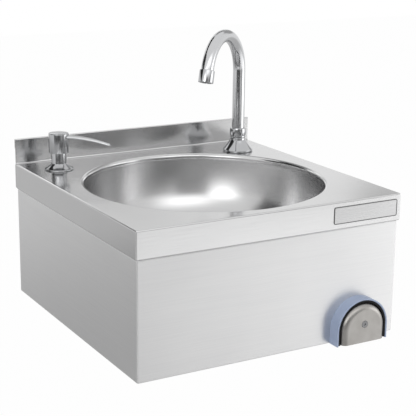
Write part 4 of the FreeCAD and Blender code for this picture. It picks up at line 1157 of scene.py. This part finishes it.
def faded(tree, width):
    """Cover that is full in the middle of a card and fades out over a width along its edges."""
    across = tree.nodes.new("ShaderNodeSeparateXYZ")
    tree.links.new(tree.nodes.new("ShaderNodeUVMap").outputs[0], across.inputs[0])
    sides = []
    for axis in "XY":
        fade = tree.nodes.new("ShaderNodeMapRange")
        fade.interpolation_type = "SMOOTHSTEP"
        fade.inputs["From Max"].default_value = width
        feed(tree, fade.inputs["Value"], reckon(tree, "PINGPONG", across.outputs[axis], half_card))
        sides.append(fade.outputs["Result"])
    return reckon(tree, "MULTIPLY", *sides)


def card(name, place, aim, width, height, tone, fade=0.3):
    """Card with faded edges, out of the picture, which only the metal's reflections show."""
    bpy.ops.object.select_all(action="DESELECT")
    turn = (Vector(aim) - Vector(place)).to_track_quat("Z", "Y").to_euler()
    bpy.ops.mesh.primitive_plane_add(size=1, location=place, rotation=turn)
    bpy.context.object.scale = (width, height, 1)
    sheet = added(name)
    sheet.visible_camera = sheet.visible_shadow = sheet.visible_diffuse = False
    sheet.data.materials.append(glowing(
        name, "ShaderNodeBsdfTransparent", 1, tone, lambda tree: faded(tree, fade)))


soft_box("lamp_front", (0, -1.84, 1.27), (0, -0.2, 0.05), 2.4, 1.0, 12)
soft_box("lamp_left", (-1.5, -1.2, 0.5), (0, -0.2, 0.1), 1.2, 0.5, 4)

# Cards in front and at the sides
card("front_glow", (-0.2, -1.84, 1.3), (0, -0.2, 0.05), 3.4, 1.5, 2.3, 0.45)
card("left_glow", (-1.7, -1.6, 0.88), (0, -0.2, 0.1), 1.9, 1.3, 4.0, 0.5)
card("camera_card", (-0.7, -2.5, 0.58), (0, -0.2, 0.58), 1.9, 1.6, 0.22, 0.2)
card("right_card", (1.8, -1.25, 0.1), (0, -0.2, 0.1), 1.8, 1.1, 2.6, 0.25)
card("front_card", (1.0, -2.4, 0.2), (0, -0.2, 0.2), 2.2, 1.3, 0.4, 0.25)
card("dark_card", (-1.5, -1.9, -0.08), (0, -0.2, -0.08), 4.4, 0.75, 0.06, 0.2)

# Cards behind
card("left_card", (-2.08, 1.36, 1.75), (0, -0.2, 1.75), 3.4, 2.4, 0.04, 0.1)
card("high_card", (-0.85, 1.6, 2.0), (-0.85, 0, 2.0), 2.6, 1.8, 0.04, 0.1)
card("slot_card", (-0.1, 2.0, 1.06), (-0.1, 0, 1.06), 2.0, 0.5, 1.5, 0.3)
card("low_card", (0.5, 2.05, 0.72), (0.5, 0, 0.72), 2.0, 0.5, 0.68, 0.3)
card("back_card", (1.35, 2.0, 2.15), (1.35, 0, 2.15), 1.7, 1.5, 0.25, 0.15)
card("side_card", (2.3, 1.2, 1.6), (0, 0, 1.6), 1.8, 1.8, 0.45, 0.1)

# Cards on the floor
card("ground_card", (0, 0.8, floor_z + overrun), (0, 0.8, 0), 9, 8, 0.64)
card("floor_card", (-0.8, 0.65, floor_z + 2 * overrun), (-0.8, 0.65, 0), 1.7, 1.5, 0.38)
card("sweep_card", (1.35, -1.5, floor_z + 2 * overrun), (1.35, -1.5, 0), 2.8, 2.2, 1.38)

bpy.context.scene.view_settings.view_transform = "Standard"


# Camera
# A camera with a long lens stands in front of the left corner, well back and above the spout.
# It looks down on the deck, and its horizon leans by less than a degree.
camera_place = Vector((-0.7862, -1.5879, 0.5059))
camera_yaw = math.radians(29.96)
camera_pitch = math.radians(15.16)
camera_roll = math.radians(0.73)
camera_lens = 100.48
camera_sensor = 36
lens = bpy.data.cameras.new("photo_camera")
lens.lens = camera_lens
lens.sensor_width = camera_sensor
camera = bpy.data.objects.new("photo_camera", lens)
bpy.context.scene.collection.objects.link(camera)
camera.location = camera_place
level_turn = Matrix.Rotation(-camera_yaw, 4, "Z") @ Matrix.Rotation(math.pi / 2 - camera_pitch, 4, "X")
camera.rotation_euler = (level_turn @ Matrix.Rotation(camera_roll, 4, "Z")).to_euler()
bpy.context.scene.camera = camera
